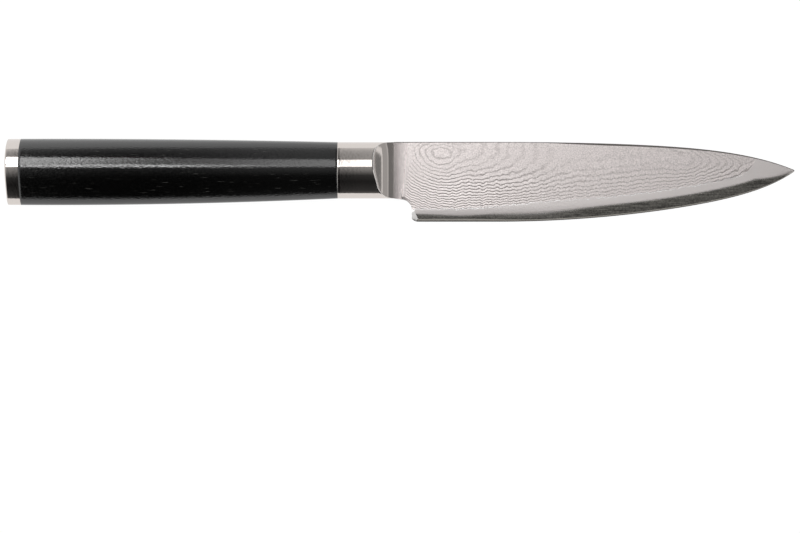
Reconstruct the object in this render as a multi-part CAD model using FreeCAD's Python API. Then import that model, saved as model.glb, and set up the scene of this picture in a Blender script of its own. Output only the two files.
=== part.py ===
import FreeCAD, Part
import math
import os

# Paring knife with a layered blade, a one-piece grip of D-shaped section, a steel bolster
# and a steel end cap. All sizes are in millimetres.
#
# The knife is drawn on its own datum: the butt face is x = 0, the grip's axis is y = 0 and
# the middle plane of the blade is z = 0. X runs to the point, Y to the spine and Z to the
# right side. rest() then lays the finished pieces on their left side, with the origin under
# the middle of the knife.

V = FreeCAD.Vector

# Lengths along the knife
END_CAP_LENGTH = 3.5
GRIP_LENGTH = 83.3
BOLSTER_LENGTH = 14.8
BLADE_LENGTH = 105.4

# Section of the grip at its butt, middle and neck: reach from the axis to the spine side,
# the edge side, the ridge on the right and the round back on the left
BUTT_RISE = 8.6
BUTT_DROP = 8.8
BUTT_RIDGE = 7.4
BUTT_BACK = 7.0
MIDDLE_RISE = 8.45
MIDDLE_DROP = 8.5
MIDDLE_RIDGE = 7.15
MIDDLE_BACK = 6.8
NECK_DROP = 7.1
NECK_RIDGE = 6.2
NECK_BACK = 6.0
MIDDLE_STATION_SHARE = 0.52
GRIP_SPANS = 4

# Ridge of the D section and the swell of its two flanks, which tighten from the butt to the neck
RIDGE_HEIGHT = 1.25
BUTT_RIDGE_RADIUS = 6.8
NECK_RIDGE_RADIUS = 5.0
RIDGE_UPPER_ANGLE = 25.0
RIDGE_LOWER_ANGLE = 28.0
BUTT_UPPER_CROWN_SHARE = 0.38
NECK_UPPER_CROWN_SHARE = 0.52
BUTT_UPPER_FLANK_SHARE = 0.55
NECK_UPPER_FLANK_SHARE = 0.74
LOWER_CROWN_SHARE = 0.25
LOWER_FLANK_SHARE = 0.50
ROUND_SHARE = 0.5523

# Blade outline: the spine lies flush with the top of the neck
SPINE_RISE = 7.75
EDGE_DROP = 13.2
TIP_RISE = 0.2
TIP_WIDTH = 0.4
SPINE_STRAIGHT = 28.0
EDGE_STRAIGHT = 27.4
SPINE_SWEEP_SHARE = 0.42
SPINE_SWEEP_POWER = 6
EDGE_SWEEP_SHARE = 0.74
EDGE_SWEEP_POWER = 10

# Heel
NECK_LENGTH = 4.7
NECK_FALL = 0.25
HEEL_HOLLOW_RADIUS = 2.8
HEEL_CORNER_RISE = 1.2
HEEL_CORNER_RUN = 3.0
HEEL_CORNER_SINK = 0.12
HEEL_FACET_LENGTH = 2.1
HEEL_FACET_HEIGHT = 4.0
HEEL_FACET_FALL = 0.14

# Blade section
SPINE_THICKNESS = 1.8
TIP_THICKNESS = 0.32
SPINE_EASE_SHARE = 0.2
EDGE_ZONE_HEIGHT = 5.4
EDGE_ZONE_FADE = 7.0
EDGE_ZONE_BULGE_SHARE = 1.3
BEVEL_HEIGHT = 0.5
BEVEL_ANGLE = 16.0
BLADE_SECTIONS = 15
SECTION_CROWDING = 1.7

# Layers of the blade: a hard core with soft steel sheets on both sides
CORE_THICKNESS = 0.68
LAYERS_PER_SIDE = 16

# Bolster and end cap
SHOULDER_RADIUS = 5.8
SHOULDER_EASE = 0.3
BUTT_EASE = 0.6
BUTT_EASE_STEPS = 3

# Tang and its seats
TANG_HEIGHT = 7.0
TANG_THICKNESS = 3.0
TANG_EASE = 0.4
BOLSTER_SOCKET_DEPTH = 5.0
END_CAP_FLOOR = 1.7
BOSS_LENGTH = 4.0
BOSS_WALL = 1.5
WELD_LEG = 1.2
RELIEF_DEPTH = 2.2
GLUE_GAP = 0.4
SEAT_GAP = 0.05

OVERRUN = 2.0

# Stations and reaches worked out from the sizes above
GRIP_START = END_CAP_LENGTH
GRIP_END = GRIP_START + GRIP_LENGTH
WELD_X = GRIP_END + BOLSTER_LENGTH
TIP_X = WELD_X + BLADE_LENGTH
HEEL_X = WELD_X + NECK_LENGTH
WIDEST = max(BUTT_RISE, BUTT_DROP, BUTT_RIDGE, BUTT_BACK, SPINE_RISE, EDGE_DROP) + OVERRUN
LAYER_THICKNESS = (SPINE_THICKNESS - CORE_THICKNESS) / 2 / LAYERS_PER_SIDE


def bezier(*points):
    """An edge on one Bezier curve."""
    curve = Part.BezierCurve()
    curve.setPoles(list(points))
    return curve.toShape()


def line(start, end):
    """A straight edge."""
    return Part.LineSegment(start, end).toShape()


def block(x0, x1, y0, y1, z0, z1):
    """A box between two corners."""
    return Part.makeBox(x1 - x0, y1 - y0, z1 - z0, V(x0, y0, z0))


def slice_along(x0, x1):
    """Everything between two stations along the knife."""
    return block(x0, x1, -WIDEST, WIDEST, -WIDEST, WIDEST)


def bar(x0, x1, height, thickness, ease):
    """A flat bar along the axis with its four long edges rounded."""
    solid = block(x0, x1, -height / 2, height / 2, -thickness / 2, thickness / 2)
    long_edges = [e for e in solid.Edges if abs(e.tangentAt(e.FirstParameter).x) > 0.5]
    return solid.makeFillet(ease, long_edges)


# Handle form

def tightened(x, butt, neck):
    """A value at x that changes evenly from the butt to the neck, where the grip meets the bolster."""
    return butt + (neck - butt) * x / GRIP_END


def grip_section(x, rise, drop, ridge, back):
    """The D section: two flanks that meet in a rounded ridge on the right, and a round back."""
    radius = tightened(x, BUTT_RIDGE_RADIUS, NECK_RIDGE_RADIUS)
    crest = V(x, RIDGE_HEIGHT, ridge - radius)
    upper = math.radians(RIDGE_UPPER_ANGLE)
    lower = math.radians(RIDGE_LOWER_ANGLE)
    crest_top = crest + V(0, 0, radius)
    crest_upper = crest + V(0, math.sin(upper), math.cos(upper)) * radius
    crest_lower = crest + V(0, -math.sin(lower), math.cos(lower)) * radius
    top = V(x, rise, 0)
    bottom = V(x, -drop, 0)
    left = V(x, 0, -back)
    upper_run = (rise - crest_upper.y) * tightened(x, BUTT_UPPER_FLANK_SHARE, NECK_UPPER_FLANK_SHARE)
    lower_run = (drop + crest_lower.y) * LOWER_FLANK_SHARE
    crown = ridge * tightened(x, BUTT_UPPER_CROWN_SHARE, NECK_UPPER_CROWN_SHARE)
    upper_flank = bezier(top, top + V(0, 0, crown),
                         crest_upper + V(0, 1, -math.tan(upper)) * upper_run, crest_upper)
    lower_flank = bezier(crest_lower, crest_lower + V(0, -1, -math.tan(lower)) * lower_run,
                         bottom + V(0, 0, ridge * LOWER_CROWN_SHARE), bottom)
    lower_back = bezier(bottom, bottom + V(0, 0, -back * ROUND_SHARE),
                        left + V(0, -drop * ROUND_SHARE, 0), left)
    upper_back = bezier(left, left + V(0, rise * ROUND_SHARE, 0),
                        top + V(0, 0, -back * ROUND_SHARE), top)
    ridge_arc = Part.Arc(crest_upper, crest_top, crest_lower).toShape()
    return Part.Wire([upper_flank, ridge_arc, lower_flank, lower_back, upper_back])


def reach(x, butt, middle, neck):
    """A reach of the section at x, on the parabola through its values at the three stations."""
    run, share = x / GRIP_END, MIDDLE_STATION_SHARE
    return (butt * (run - share) * (run - 1) / share
            - middle * run * (run - 1) / (share * (1 - share))
            + neck * run * (run - share) / (1 - share))


def section_at(x, inset):
    """The D section at x, drawn in by an inset all round."""
    return grip_section(x, reach(x, BUTT_RISE, MIDDLE_RISE, SPINE_RISE) - inset,
                        reach(x, BUTT_DROP, MIDDLE_DROP, NECK_DROP) - inset,
                        reach(x, BUTT_RIDGE, MIDDLE_RIDGE, NECK_RIDGE) - inset,
                        reach(x, BUTT_BACK, MIDDLE_BACK, NECK_BACK) - inset)


def handle_form():
    """The outer shape of end cap and grip, from the butt's rounded rim to the neck."""
    sections = []
    for i in range(BUTT_EASE_STEPS + 1):
        turn = math.pi / 2 * i / BUTT_EASE_STEPS
        sections.append(section_at(BUTT_EASE * (1 - math.cos(turn)), BUTT_EASE * (1 - math.sin(turn))))
    for i in range(GRIP_SPANS + 1):
        sections.append(section_at(GRIP_START + GRIP_LENGTH * i / GRIP_SPANS, 0))
    return Part.makeLoft(sections, True, True)


# Blade form

def sweep(x, straight, share, power):
    """How far, from 0 to 1, a line of the outline has swept from its straight part to the point."""
    start = WELD_X + straight
    run = max(0, (x - start) / (TIP_X - start))
    return share * run ** 2 + (1 - share) * run ** power


def spine_height(x):
    top = TIP_RISE + TIP_WIDTH / 2
    return SPINE_RISE - (SPINE_RISE - top) * sweep(x, SPINE_STRAIGHT, SPINE_SWEEP_SHARE, SPINE_SWEEP_POWER)


def edge_height(x):
    bottom = TIP_RISE - TIP_WIDTH / 2
    return -EDGE_DROP + (EDGE_DROP + bottom) * sweep(x, EDGE_STRAIGHT, EDGE_SWEEP_SHARE, EDGE_SWEEP_POWER)


def spine_half(x):
    """Half the spine's thickness: the taper to the point grows with the square of the distance."""
    run = (x - WELD_X) / BLADE_LENGTH
    return (SPINE_THICKNESS - (SPINE_THICKNESS - TIP_THICKNESS) * run ** 2) / 2


def right_profile(x):
    """Named points (height, half thickness) of the right side of the blade's section at x."""
    spine, edge, half = spine_height(x), edge_height(x), spine_half(x)
    height = spine - edge
    fade = height / (height + EDGE_ZONE_FADE)
    zone, bevel = EDGE_ZONE_HEIGHT * fade, BEVEL_HEIGHT * fade
    behind = bevel * math.tan(math.radians(BEVEL_ANGLE))
    climb = (zone - bevel) / (height - bevel)
    zone_half = behind + (half - behind) * climb * (1 + EDGE_ZONE_BULGE_SHARE * (1 - climb))
    slope = (half - zone_half) / (height - zone)
    ease = SPINE_EASE_SHARE * half
    pull = (zone - bevel) / 2
    return {
        "crown": (spine, half - ease),
        "shoulder": (spine - ease, half - slope * ease),
        "zone": (edge + zone, zone_half),
        "pull": (edge + zone - pull, zone_half - slope * pull),
        "bevel": (edge + bevel, behind),
        "edge": (edge, 0),
        "slope": slope,
    }


def half_at(x, above):
    """Half the blade's thickness at a height above the edge, inside the convex zone."""
    profile = right_profile(x)
    zone, behind = profile["zone"], profile["bevel"]
    share = (profile["edge"][0] + above - behind[0]) / (zone[0] - behind[0])
    ends = behind[1] * (1 - share) ** 2 + zone[1] * share ** 2
    return ends + 2 * profile["pull"][1] * share * (1 - share)


def blade_section(x):
    """One closed section of the ground blade: flat faces, a convex zone above the edge and the bevels."""
    profile = right_profile(x)

    def point(name, side):
        height, half = profile[name]
        return V(x, height, side * half)

    def side_edges(side):
        return [
            line(point("crown", side), point("shoulder", side)),
            line(point("shoulder", side), point("zone", side)),
            bezier(point("zone", side), point("pull", side), point("bevel", side)),
            line(point("bevel", side), point("edge", side)),
        ]

    crown = line(point("crown", -1), point("crown", 1))
    return Part.Wire([crown] + side_edges(1) + side_edges(-1)[::-1])


def heel_notch():
    """What is cut away under the neck, behind the heel, with the heel's rounded corner."""
    depth = -EDGE_DROP - OVERRUN
    back = WELD_X - OVERRUN
    neck = V(WELD_X, -NECK_DROP, 0)
    hollow_start = V(HEEL_X - HEEL_HOLLOW_RADIUS, -NECK_DROP - NECK_FALL, 0)
    hollow_end = hollow_start + V(HEEL_HOLLOW_RADIUS, -HEEL_HOLLOW_RADIUS, 0)
    hollow_centre = V(hollow_start.x, hollow_end.y, 0)
    hollow_middle = hollow_centre + V(1, 1, 0).normalize() * HEEL_HOLLOW_RADIUS
    corner_start = V(HEEL_X, -EDGE_DROP + HEEL_CORNER_RISE, 0)
    corner_pull = V(HEEL_X, -EDGE_DROP - HEEL_CORNER_SINK, 0)
    corner_end = corner_pull + V(HEEL_CORNER_RUN, 0, 0)
    below = [corner_end, V(corner_end.x, depth, 0), V(back, depth, 0), V(back, neck.y, 0), neck, hollow_start]
    outline = Part.Wire([
        Part.Arc(hollow_start, hollow_middle, hollow_end).toShape(),
        line(hollow_end, corner_start),
        bezier(corner_start, corner_pull, corner_end),
    ] + [line(a, b) for a, b in zip(below, below[1:])])
    prism = Part.Face(outline).extrude(V(0, 0, SPINE_THICKNESS))
    prism.translate(V(0, 0, -SPINE_THICKNESS / 2))
    return prism


def heel_facet():
    """What a polished facet takes off the right side of the heel, down to its corner."""
    edge = V(HEEL_X + HEEL_FACET_LENGTH, -EDGE_DROP, right_profile(HEEL_X)["bevel"][1])
    above = min(HEEL_FACET_HEIGHT, right_profile(HEEL_X)["zone"][0] + EDGE_DROP)
    top = V(HEEL_X, -EDGE_DROP + above, half_at(HEEL_X, above))
    corner = V(HEEL_X, -EDGE_DROP + HEEL_CORNER_RISE, half_at(HEEL_X, HEEL_CORNER_RISE) - HEEL_FACET_FALL)
    normal = (top - edge).cross(corner - edge)

    def on_facet(x, y):
        return V(x, y, edge.z - (normal.x * (x - edge.x) + normal.y * (y - edge.y)) / normal.z)

    x0, x1 = HEEL_X - OVERRUN, edge.x + HEEL_FACET_LENGTH
    y0, y1 = edge.y - OVERRUN, top.y + HEEL_FACET_HEIGHT
    corners = [on_facet(x0, y0), on_facet(x1, y0), on_facet(x1, y1), on_facet(x0, y1)]
    facet = Part.Face(Part.makePolygon(corners + corners[:1]))
    return facet.extrude(V(0, 0, SPINE_THICKNESS))


def blade_form():
    """The whole ground blade as one shape, before it is divided into its layers."""
    stations = []
    for i in range(BLADE_SECTIONS):
        run = 1 - (1 - i / (BLADE_SECTIONS - 1)) ** SECTION_CROWDING
        stations.append(WELD_X + BLADE_LENGTH * run)
    ground = Part.makeLoft([blade_section(x) for x in stations], True, False)
    right = heel_facet()
    left = right.mirror(V(0, 0, 0), V(0, 0, 1))
    return ground.cut(heel_notch()).cut(right).cut(left)


def blade_sheet(blade, low, high):
    """The blade's material between two planes parallel to its middle."""
    return blade.common(block(WELD_X - OVERRUN, TIP_X + OVERRUN, -WIDEST, WIDEST, low, high))


def blade_layers():
    """The core and the sheets of both sides, numbered outwards from the core."""
    blade = blade_form()
    core = CORE_THICKNESS / 2
    pieces = {"blade_core": blade_sheet(blade, -core, core)}
    for i in range(LAYERS_PER_SIDE):
        low = core + i * LAYER_THICKNESS
        high = low + LAYER_THICKNESS
        pieces[f"right_layer_{i + 1:02d}"] = blade_sheet(blade, low, high)
        pieces[f"left_layer_{i + 1:02d}"] = blade_sheet(blade, -high, -low)
    return pieces


# Tang and its seats

def tang():
    """The flat bar that runs from the bolster's socket through the grip into the end cap."""
    return bar(END_CAP_FLOOR, GRIP_END + BOLSTER_SOCKET_DEPTH, TANG_HEIGHT, TANG_THICKNESS, TANG_EASE)


def tang_seat(x0, x1):
    """The room that the tang needs where it is held."""
    return bar(x0, x1, TANG_HEIGHT + 2 * SEAT_GAP, TANG_THICKNESS + 2 * SEAT_GAP, TANG_EASE + SEAT_GAP)


def boss(x1, gap):
    """The end cap's boss, or with a gap its seat in the grip, from inside the cap to x1."""
    wall = BOSS_WALL + gap
    return bar(END_CAP_FLOOR, x1, TANG_HEIGHT + 2 * wall, TANG_THICKNESS + 2 * wall, TANG_EASE + wall)


def tang_weld():
    """The fillet weld round the tang, behind the bolster."""

    def ring(x, leg):
        y, z = TANG_HEIGHT / 2 + leg, TANG_THICKNESS / 2 + leg
        corners = [V(x, y, z), V(x, -y, z), V(x, -y, -z), V(x, y, -z)]
        return Part.makePolygon(corners + corners[:1])

    bead = Part.makeLoft([ring(GRIP_END - WELD_LEG, 0), ring(GRIP_END, WELD_LEG)], True, True)
    return bead.cut(tang())


def grip_cavity():
    """The hollow through the grip: the tang's slot, the boss seat and the relief over the weld."""
    slot = bar(GRIP_START, GRIP_END, TANG_HEIGHT + 2 * GLUE_GAP, TANG_THICKNESS + 2 * GLUE_GAP,
               TANG_EASE + GLUE_GAP)
    boss_seat = boss(GRIP_START + BOSS_LENGTH + GLUE_GAP, SEAT_GAP)
    wall = WELD_LEG + GLUE_GAP
    relief = bar(GRIP_END - RELIEF_DEPTH, GRIP_END, TANG_HEIGHT + 2 * wall, TANG_THICKNESS + 2 * wall,
                 TANG_EASE + wall)
    return slot.fuse([boss_seat, relief]).common(slice_along(GRIP_START, GRIP_END)).removeSplitter()


# Pieces of the handle

def end_cap(form):
    """The steel cap on the butt, and the boss inside the grip that holds the tang's end."""
    cap = form.common(slice_along(0, GRIP_START))
    held = boss(GRIP_START + BOSS_LENGTH, 0)
    return cap.fuse(held).removeSplitter().cut(tang_seat(END_CAP_FLOOR, GRIP_START + BOSS_LENGTH + OVERRUN))


def grip(form):
    """The one-piece grip between the end cap and the bolster."""
    return form.common(slice_along(GRIP_START, GRIP_END)).cut(grip_cavity())


def adhesive_bed():
    """The glue that fills what the tang, the boss and the weld leave free in the grip."""
    filled = [tang(), boss(GRIP_START + BOSS_LENGTH, 0), tang_weld()]
    return grip_cavity().cut(filled).Solids[0]


def shoulder_grind():
    """What a wheel takes off the bolster's right side: a hollow that runs out into the blade's face."""
    low = SPINE_RISE - 2 * WIDEST
    face = SPINE_THICKNESS / 2
    far = face + WIDEST + SHOULDER_RADIUS
    centre = V(WELD_X, low, face + SHOULDER_RADIUS)
    start = V(WELD_X, low, face)
    end = V(WELD_X - SHOULDER_RADIUS, low, face + SHOULDER_RADIUS)
    middle = centre + V(-1, 0, -1).normalize() * SHOULDER_RADIUS
    beyond = WELD_X + OVERRUN
    corners = [end, V(end.x, low, far), V(beyond, low, far), V(beyond, low, face), start]
    outline = [Part.Arc(start, middle, end).toShape()]
    outline += [line(a, b) for a, b in zip(corners, corners[1:])]
    upright = Part.Face(Part.Wire(outline)).extrude(V(0, 3 * WIDEST, 0))
    lean = math.degrees(math.atan(right_profile(WELD_X)["slope"]))
    upright.rotate(V(WELD_X, SPINE_RISE, face), V(1, 0, 0), lean)
    return upright


def neck_section(run):
    """The grip's last section, carried on into the bolster by a run."""
    wire = section_at(GRIP_END, 0)
    wire.translate(V(run, 0, 0))
    return wire


def bolster():
    """The steel collar between grip and blade, hollow ground on both sides down to the blade's thickness."""
    right = shoulder_grind()
    left = right.mirror(V(0, 0, 0), V(0, 0, 1))
    plain_run = BOLSTER_LENGTH - SHOULDER_RADIUS - 2 * SHOULDER_EASE
    bar_form = Part.makeLoft([neck_section(run) for run in (0, plain_run, BOLSTER_LENGTH)], True, True)
    collar = bar_form.cut([right, left])
    hollows = [f for f in collar.Faces if isinstance(f.Surface, Part.Cylinder)]
    rims = [e for f in hollows for e in f.Edges if e.BoundBox.XMin < WELD_X - SHOULDER_EASE]
    collar = collar.makeChamfer(SHOULDER_EASE, rims)
    return collar.cut(tang_seat(GRIP_END - OVERRUN, GRIP_END + BOLSTER_SOCKET_DEPTH))


# Assembly

def rest(shape):
    """The piece moved from the knife's datum to where it lies on its left side."""
    moved = shape.copy()
    top, bottom = max(BUTT_RISE, SPINE_RISE), max(BUTT_DROP, EDGE_DROP)
    moved.translate(V(-TIP_X / 2, (bottom - top) / 2, BUTT_BACK))
    return moved


def knife():
    """Every piece of the knife by name."""
    form = handle_form()
    pieces = blade_layers()
    pieces["bolster"] = bolster()
    pieces["tang"] = tang()
    pieces["tang_weld"] = tang_weld()
    pieces["grip"] = grip(form)
    pieces["adhesive_bed"] = adhesive_bed()
    pieces["end_cap"] = end_cap(form)
    return pieces


os.makedirs("parts", exist_ok=True)
for name, piece in knife().items():
    placed = rest(piece)
    placed.exportStep(f"parts/{name}.step")
    print(f"{name}: {len(placed.Solids)} solid, {placed.Volume:.2f} mm3, valid {placed.isValid()}")
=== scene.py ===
import math
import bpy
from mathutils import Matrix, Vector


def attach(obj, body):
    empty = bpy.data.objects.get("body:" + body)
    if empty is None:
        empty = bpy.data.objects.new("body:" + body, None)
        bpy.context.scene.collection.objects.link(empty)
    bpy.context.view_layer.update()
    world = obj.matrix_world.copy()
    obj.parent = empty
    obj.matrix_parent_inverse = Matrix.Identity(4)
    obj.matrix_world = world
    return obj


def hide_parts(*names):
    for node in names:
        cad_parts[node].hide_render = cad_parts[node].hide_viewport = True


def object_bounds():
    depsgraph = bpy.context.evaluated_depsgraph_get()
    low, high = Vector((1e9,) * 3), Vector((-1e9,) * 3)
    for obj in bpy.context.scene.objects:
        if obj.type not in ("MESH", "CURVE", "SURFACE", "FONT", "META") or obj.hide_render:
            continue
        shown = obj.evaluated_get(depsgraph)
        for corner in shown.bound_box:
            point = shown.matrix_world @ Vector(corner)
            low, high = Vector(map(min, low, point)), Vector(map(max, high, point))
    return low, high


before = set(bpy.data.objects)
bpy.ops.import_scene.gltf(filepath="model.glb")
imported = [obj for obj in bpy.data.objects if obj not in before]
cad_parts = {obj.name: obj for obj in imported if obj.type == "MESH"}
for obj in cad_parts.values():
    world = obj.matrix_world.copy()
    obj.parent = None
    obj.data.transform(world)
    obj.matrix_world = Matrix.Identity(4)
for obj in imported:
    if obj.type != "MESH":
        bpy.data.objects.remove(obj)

from types import SimpleNamespace

import bmesh
import bpy
import numpy as np
from bpy.props import FloatProperty, FloatVectorProperty, IntProperty, PointerProperty

bl_info = {
    "name": "Layered Paring Knife",
    "version": (1, 0, 0),
    "blender": (4, 5, 0),
    "location": "View3D > Sidebar > Knife",
    "description": "Dresses the packed paring knife with ground, etched and polished surfaces",
    "category": "Add Mesh",
}

CAD_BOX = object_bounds()
MM = 0.001
SIDES = {"right": 1, "left": -1}

# Mesh columns along the blade's lower outline, from the neck to the point.
NECK_COLUMNS = 24
HOLLOW_COLUMNS = 28
HEEL_COLUMNS = 10
CORNER_COLUMNS = 18
EDGE_COLUMNS = 540
# Mesh rows down the bare core and down the cladding.
CORE_ROWS = 24
SHEET_ROWS = 112
# Mesh rings along the bolster's skin, rim and hollow, round the butt's rim and along the end cap.
SKIN_RINGS = 24
RIM_RINGS = 10
HOLLOW_RINGS = 44
BUTT_RINGS = 12
CAP_RINGS = 10
# Degrees from which an edge breaks the shading, and from which a joint's rim is bevelled.
BLADE_CREASE = 5
STEEL_CREASE = 40
WOOD_CREASE = 30
JOINT_CREASE = 60
# Metres under which two points are one, an edge has collapsed, and the loft's seam is closed.
SAME_POINT = 1e-7
COLLAPSED = 1e-8
CLOSED_SEAM = 1e-6
# A column of the blade with a smaller share of cladding than this shows none.
LEAST_CLAD_SHARE = 0.004


# Settings

def linear(hex_value):
    """A linear RGBA colour from an sRGB hex value."""
    parts = [int(hex_value[i:i + 2], 16) / 255 for i in (1, 3, 5)]
    return tuple(p / 12.92 if p <= 0.04045 else ((p + 0.055) / 1.055) ** 2.4 for p in parts) + (1.0,)


def size(name, value, description):
    """A length, given in millimetres."""
    return FloatProperty(name=name, description=description, default=value * MM, unit="LENGTH", precision=5)


def share(name, value, description):
    """A plain factor."""
    return FloatProperty(name=name, description=description, default=value, subtype="FACTOR")


def angle(name, value, description):
    """An angle, given in degrees."""
    return FloatProperty(name=name, description=description, default=math.radians(value), unit="ROTATION",
                         subtype="ANGLE")


def amount(name, value, description):
    """A whole number."""
    return IntProperty(name=name, description=description, default=value)


def radiance(name, value, description):
    """A brightness, where 1 is white."""
    return FloatProperty(name=name, description=description, default=value)


def colour(name, hex_value, description):
    """A colour, given as an sRGB hex value."""
    return FloatVectorProperty(name=name, description=description, default=linear(hex_value), size=4,
                               subtype="COLOR", min=0, max=1)


class HandleSizes(bpy.types.PropertyGroup):
    """Sizes of the grip and its two steel ends."""

    cap_length: size("End cap length", 3.5, "Steel plate on the butt")
    grip_length: size("Grip length", 83.3, "Wood between the two steel ends")
    bolster_length: size("Bolster length", 14.8, "Collar and hollow up to the weld")
    butt_rise: size("Butt rise", 8.6, "Axis to spine side at the butt")
    butt_drop: size("Butt drop", 8.8, "Axis to edge side at the butt")
    butt_ridge: size("Butt ridge", 7.4, "Axis to ridge at the butt")
    butt_back: size("Butt back", 7.0, "Axis to round back at the butt")
    middle_rise: size("Middle rise", 8.45, "Axis to spine side at mid grip")
    middle_drop: size("Middle drop", 8.5, "Axis to edge side at mid grip")
    middle_ridge: size("Middle ridge", 7.15, "Axis to ridge at mid grip")
    middle_back: size("Middle back", 6.8, "Axis to round back at mid grip")
    neck_rise: size("Neck rise", 7.75, "Axis to spine side at the bolster")
    neck_drop: size("Neck drop", 7.1, "Axis to edge side at the bolster")
    neck_ridge: size("Neck ridge", 6.2, "Axis to ridge at the bolster")
    neck_back: size("Neck back", 6.0, "Axis to round back at the bolster")
    middle_share: share("Middle station", 0.52, "Where the middle section lies between butt and bolster")
    ridge_height: size("Ridge height", 1.1, "Ridge above the axis")
    butt_radius: size("Butt ridge radius", 6.8, "Rounding of the ridge at the butt")
    neck_radius: size("Neck ridge radius", 5.0, "Rounding of the ridge at the bolster")
    upper_angle: angle("Upper flank", 25, "Fall of the flank above the ridge")
    lower_angle: angle("Lower flank", 28, "Fall of the flank below the ridge")
    butt_crown: share("Butt crown", 0.27, "Fullness of the upper corner at the butt")
    neck_crown: share("Neck crown", 0.36, "Fullness of the upper corner at the bolster")
    butt_flank: share("Butt flank", 0.55, "Length of the straight upper flank at the butt")
    neck_flank: share("Neck flank", 0.74, "Length of the straight upper flank at the bolster")
    lower_crown: share("Lower crown", 0.29, "Fullness of the lower corner")
    lower_flank: share("Lower flank length", 0.50, "Length of the straight lower flank")
    butt_ease: size("Butt rim", 0.3, "Rounding round the butt face")
    joint_ease: size("Joint edge", 0.03, "Bevel where wood and steel meet")
    joint_run: size("Joint run", 0.18, "Length of the buffed bevel on the steel beside the wood")
    hollow_radius: size("Hollow radius", 5.8, "Wheel that ground the bolster's hollows")
    rim_ease: size("Hollow rim", 0.2, "Rounding of the hollow's rim")
    shoulder_angle: angle("Shoulder angle", 41.6, "Slope where the fillet ends and the shoulder starts")
    shoulder_fillet: size("Shoulder fillet", 4.87, "Radius from the blade to the shoulder")
    shoulder_radius: size("Shoulder radius", 55.0, "Slight curve of the shoulder up to the rim")
    shoulder_level: size("Shoulder level", 3.0, "Height from which the shoulder falls to the spine")
    shoulder_cross: size("Shoulder cross radius", 20.0, "Curve of that fall")
    rim_inset: size("Rim inset", 0.42, "How far the buffing wheel set the rim back")
    rim_slant: size("Rim slant", 0.7, "How much further back the rim lies below the ridge")
    wall_width: size("Rim wall", 0.25, "Width of the steep wall under the rim")
    around: amount("Points around", 192, "Mesh points round the D section")
    rings: amount("Grip rings", 120, "Mesh rings along the grip")


class BladeSizes(bpy.types.PropertyGroup):
    """Sizes of the ground blade and its layers."""

    length: size("Length", 105.4, "Weld to point")
    edge_drop: size("Edge drop", 13.2, "Handle axis to the straight edge")
    tip_rise: size("Tip rise", 0.2, "Handle axis to the point")
    tip_width: size("Tip width", 0.4, "Blunt end of the point")
    spine_straight: size("Straight spine", 28.0, "Weld to where the spine starts to fall")
    edge_straight: size("Straight edge", 27.4, "Weld to where the edge starts to rise")
    neck_length: size("Neck", 4.7, "Weld to heel")
    heel_hollow: size("Heel hollow", 2.8, "Radius between neck and heel")
    neck_fall: size("Neck fall", 0.25, "How far the neck's underside falls to the heel")
    corner_rise: size("Heel corner rise", 1.2, "Height of the heel's rounded corner")
    corner_run: size("Heel corner run", 3.0, "Length of the heel corner's curve")
    corner_sink: size("Heel corner sink", 0.12, "How far the curve dips under the edge")
    facet_length: size("Heel facet length", 2.1, "Polished facet along the edge")
    facet_height: size("Heel facet height", 4.0, "Polished facet up the heel")
    facet_fall: size("Heel facet fall", 0.17, "How much the facet takes off the heel's corner")
    # The lines along the very edge and round the heel's corner are painted dark as shade.
    corner_line: size("Corner line", 0.2, "Width of the stoned line round the heel's corner")
    edge_shade_share: share("Stoned share", 0.4, "Share of the cutting bevel that the stone touched up")
    choil_width: size("Choil bevel", 0.7, "Width of the polished bevel along the heel hollow")
    choil_fall: size("Choil bevel fall", 0.1, "Height of the polished bevel along the heel hollow")
    spine_thickness: size("Spine thickness", 1.8, "At the weld")
    tip_thickness: size("Tip thickness", 0.32, "At the point")
    ease_share: share("Spine ease", 0.2, "Broken spine corner as a share of half the thickness")
    zone_height: size("Edge zone", 5.4, "Convex zone above the edge")
    zone_fade: size("Edge zone fade", 7.0, "Blade height at which the zone is half as high")
    zone_bulge: share("Edge zone bulge", 1.3, "Fullness of the convex zone")
    bevel_height: size("Bevel height", 0.6, "Cutting bevel")
    heel_bevel: size("Heel bevel", 0.35, "How much taller the cutting bevel is at the heel")
    bevel_angle: angle("Bevel angle", 16, "Cutting bevel on each side")
    core_thickness: size("Core thickness", 0.68, "Hard steel in the middle")
    sheets: amount("Sheets", 16, "Cladding sheets on each side")
    bare_heel: size("Bare core at heel", 3.2, "Height of the bare core above the edge at the heel")
    bare_belly: size("Bare core at belly", 5.0, "Height of the bare core above the edge at the belly")
    bare_tip: size("Bare point", 10.4, "From the cladding's end to the point")
    nose: size("Cladding nose", 4.5, "Length over which the cladding's end is rounded")
    # The honed band is painted dark as shade over the honed steel.
    honed_and_shaded_share: share("Honed band", 0.6, "Part of the bare core that is honed dark")
    wave_size: size("Wave size", 11.0, "Length of the slow waves in the sheets")
    wave_depth: share("Wave depth", 0.55, "Height of the slow waves, in sheets")
    ripple_size: size("Ripple size", 1.15, "Length of the fine ripples in the sheets")
    ripple_depth: share("Ripple depth", 0.27, "Height of the fine ripples, in sheets")
    relief: size("Etch relief", 0.006, "How far the etch eats the dark sheets down")
    eye_x: size("Eye along", 7.1, "From the heel to the eye of the pattern")
    eye_y: size("Eye below spine", 2.5, "From the spine to the eye of the pattern")


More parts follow.
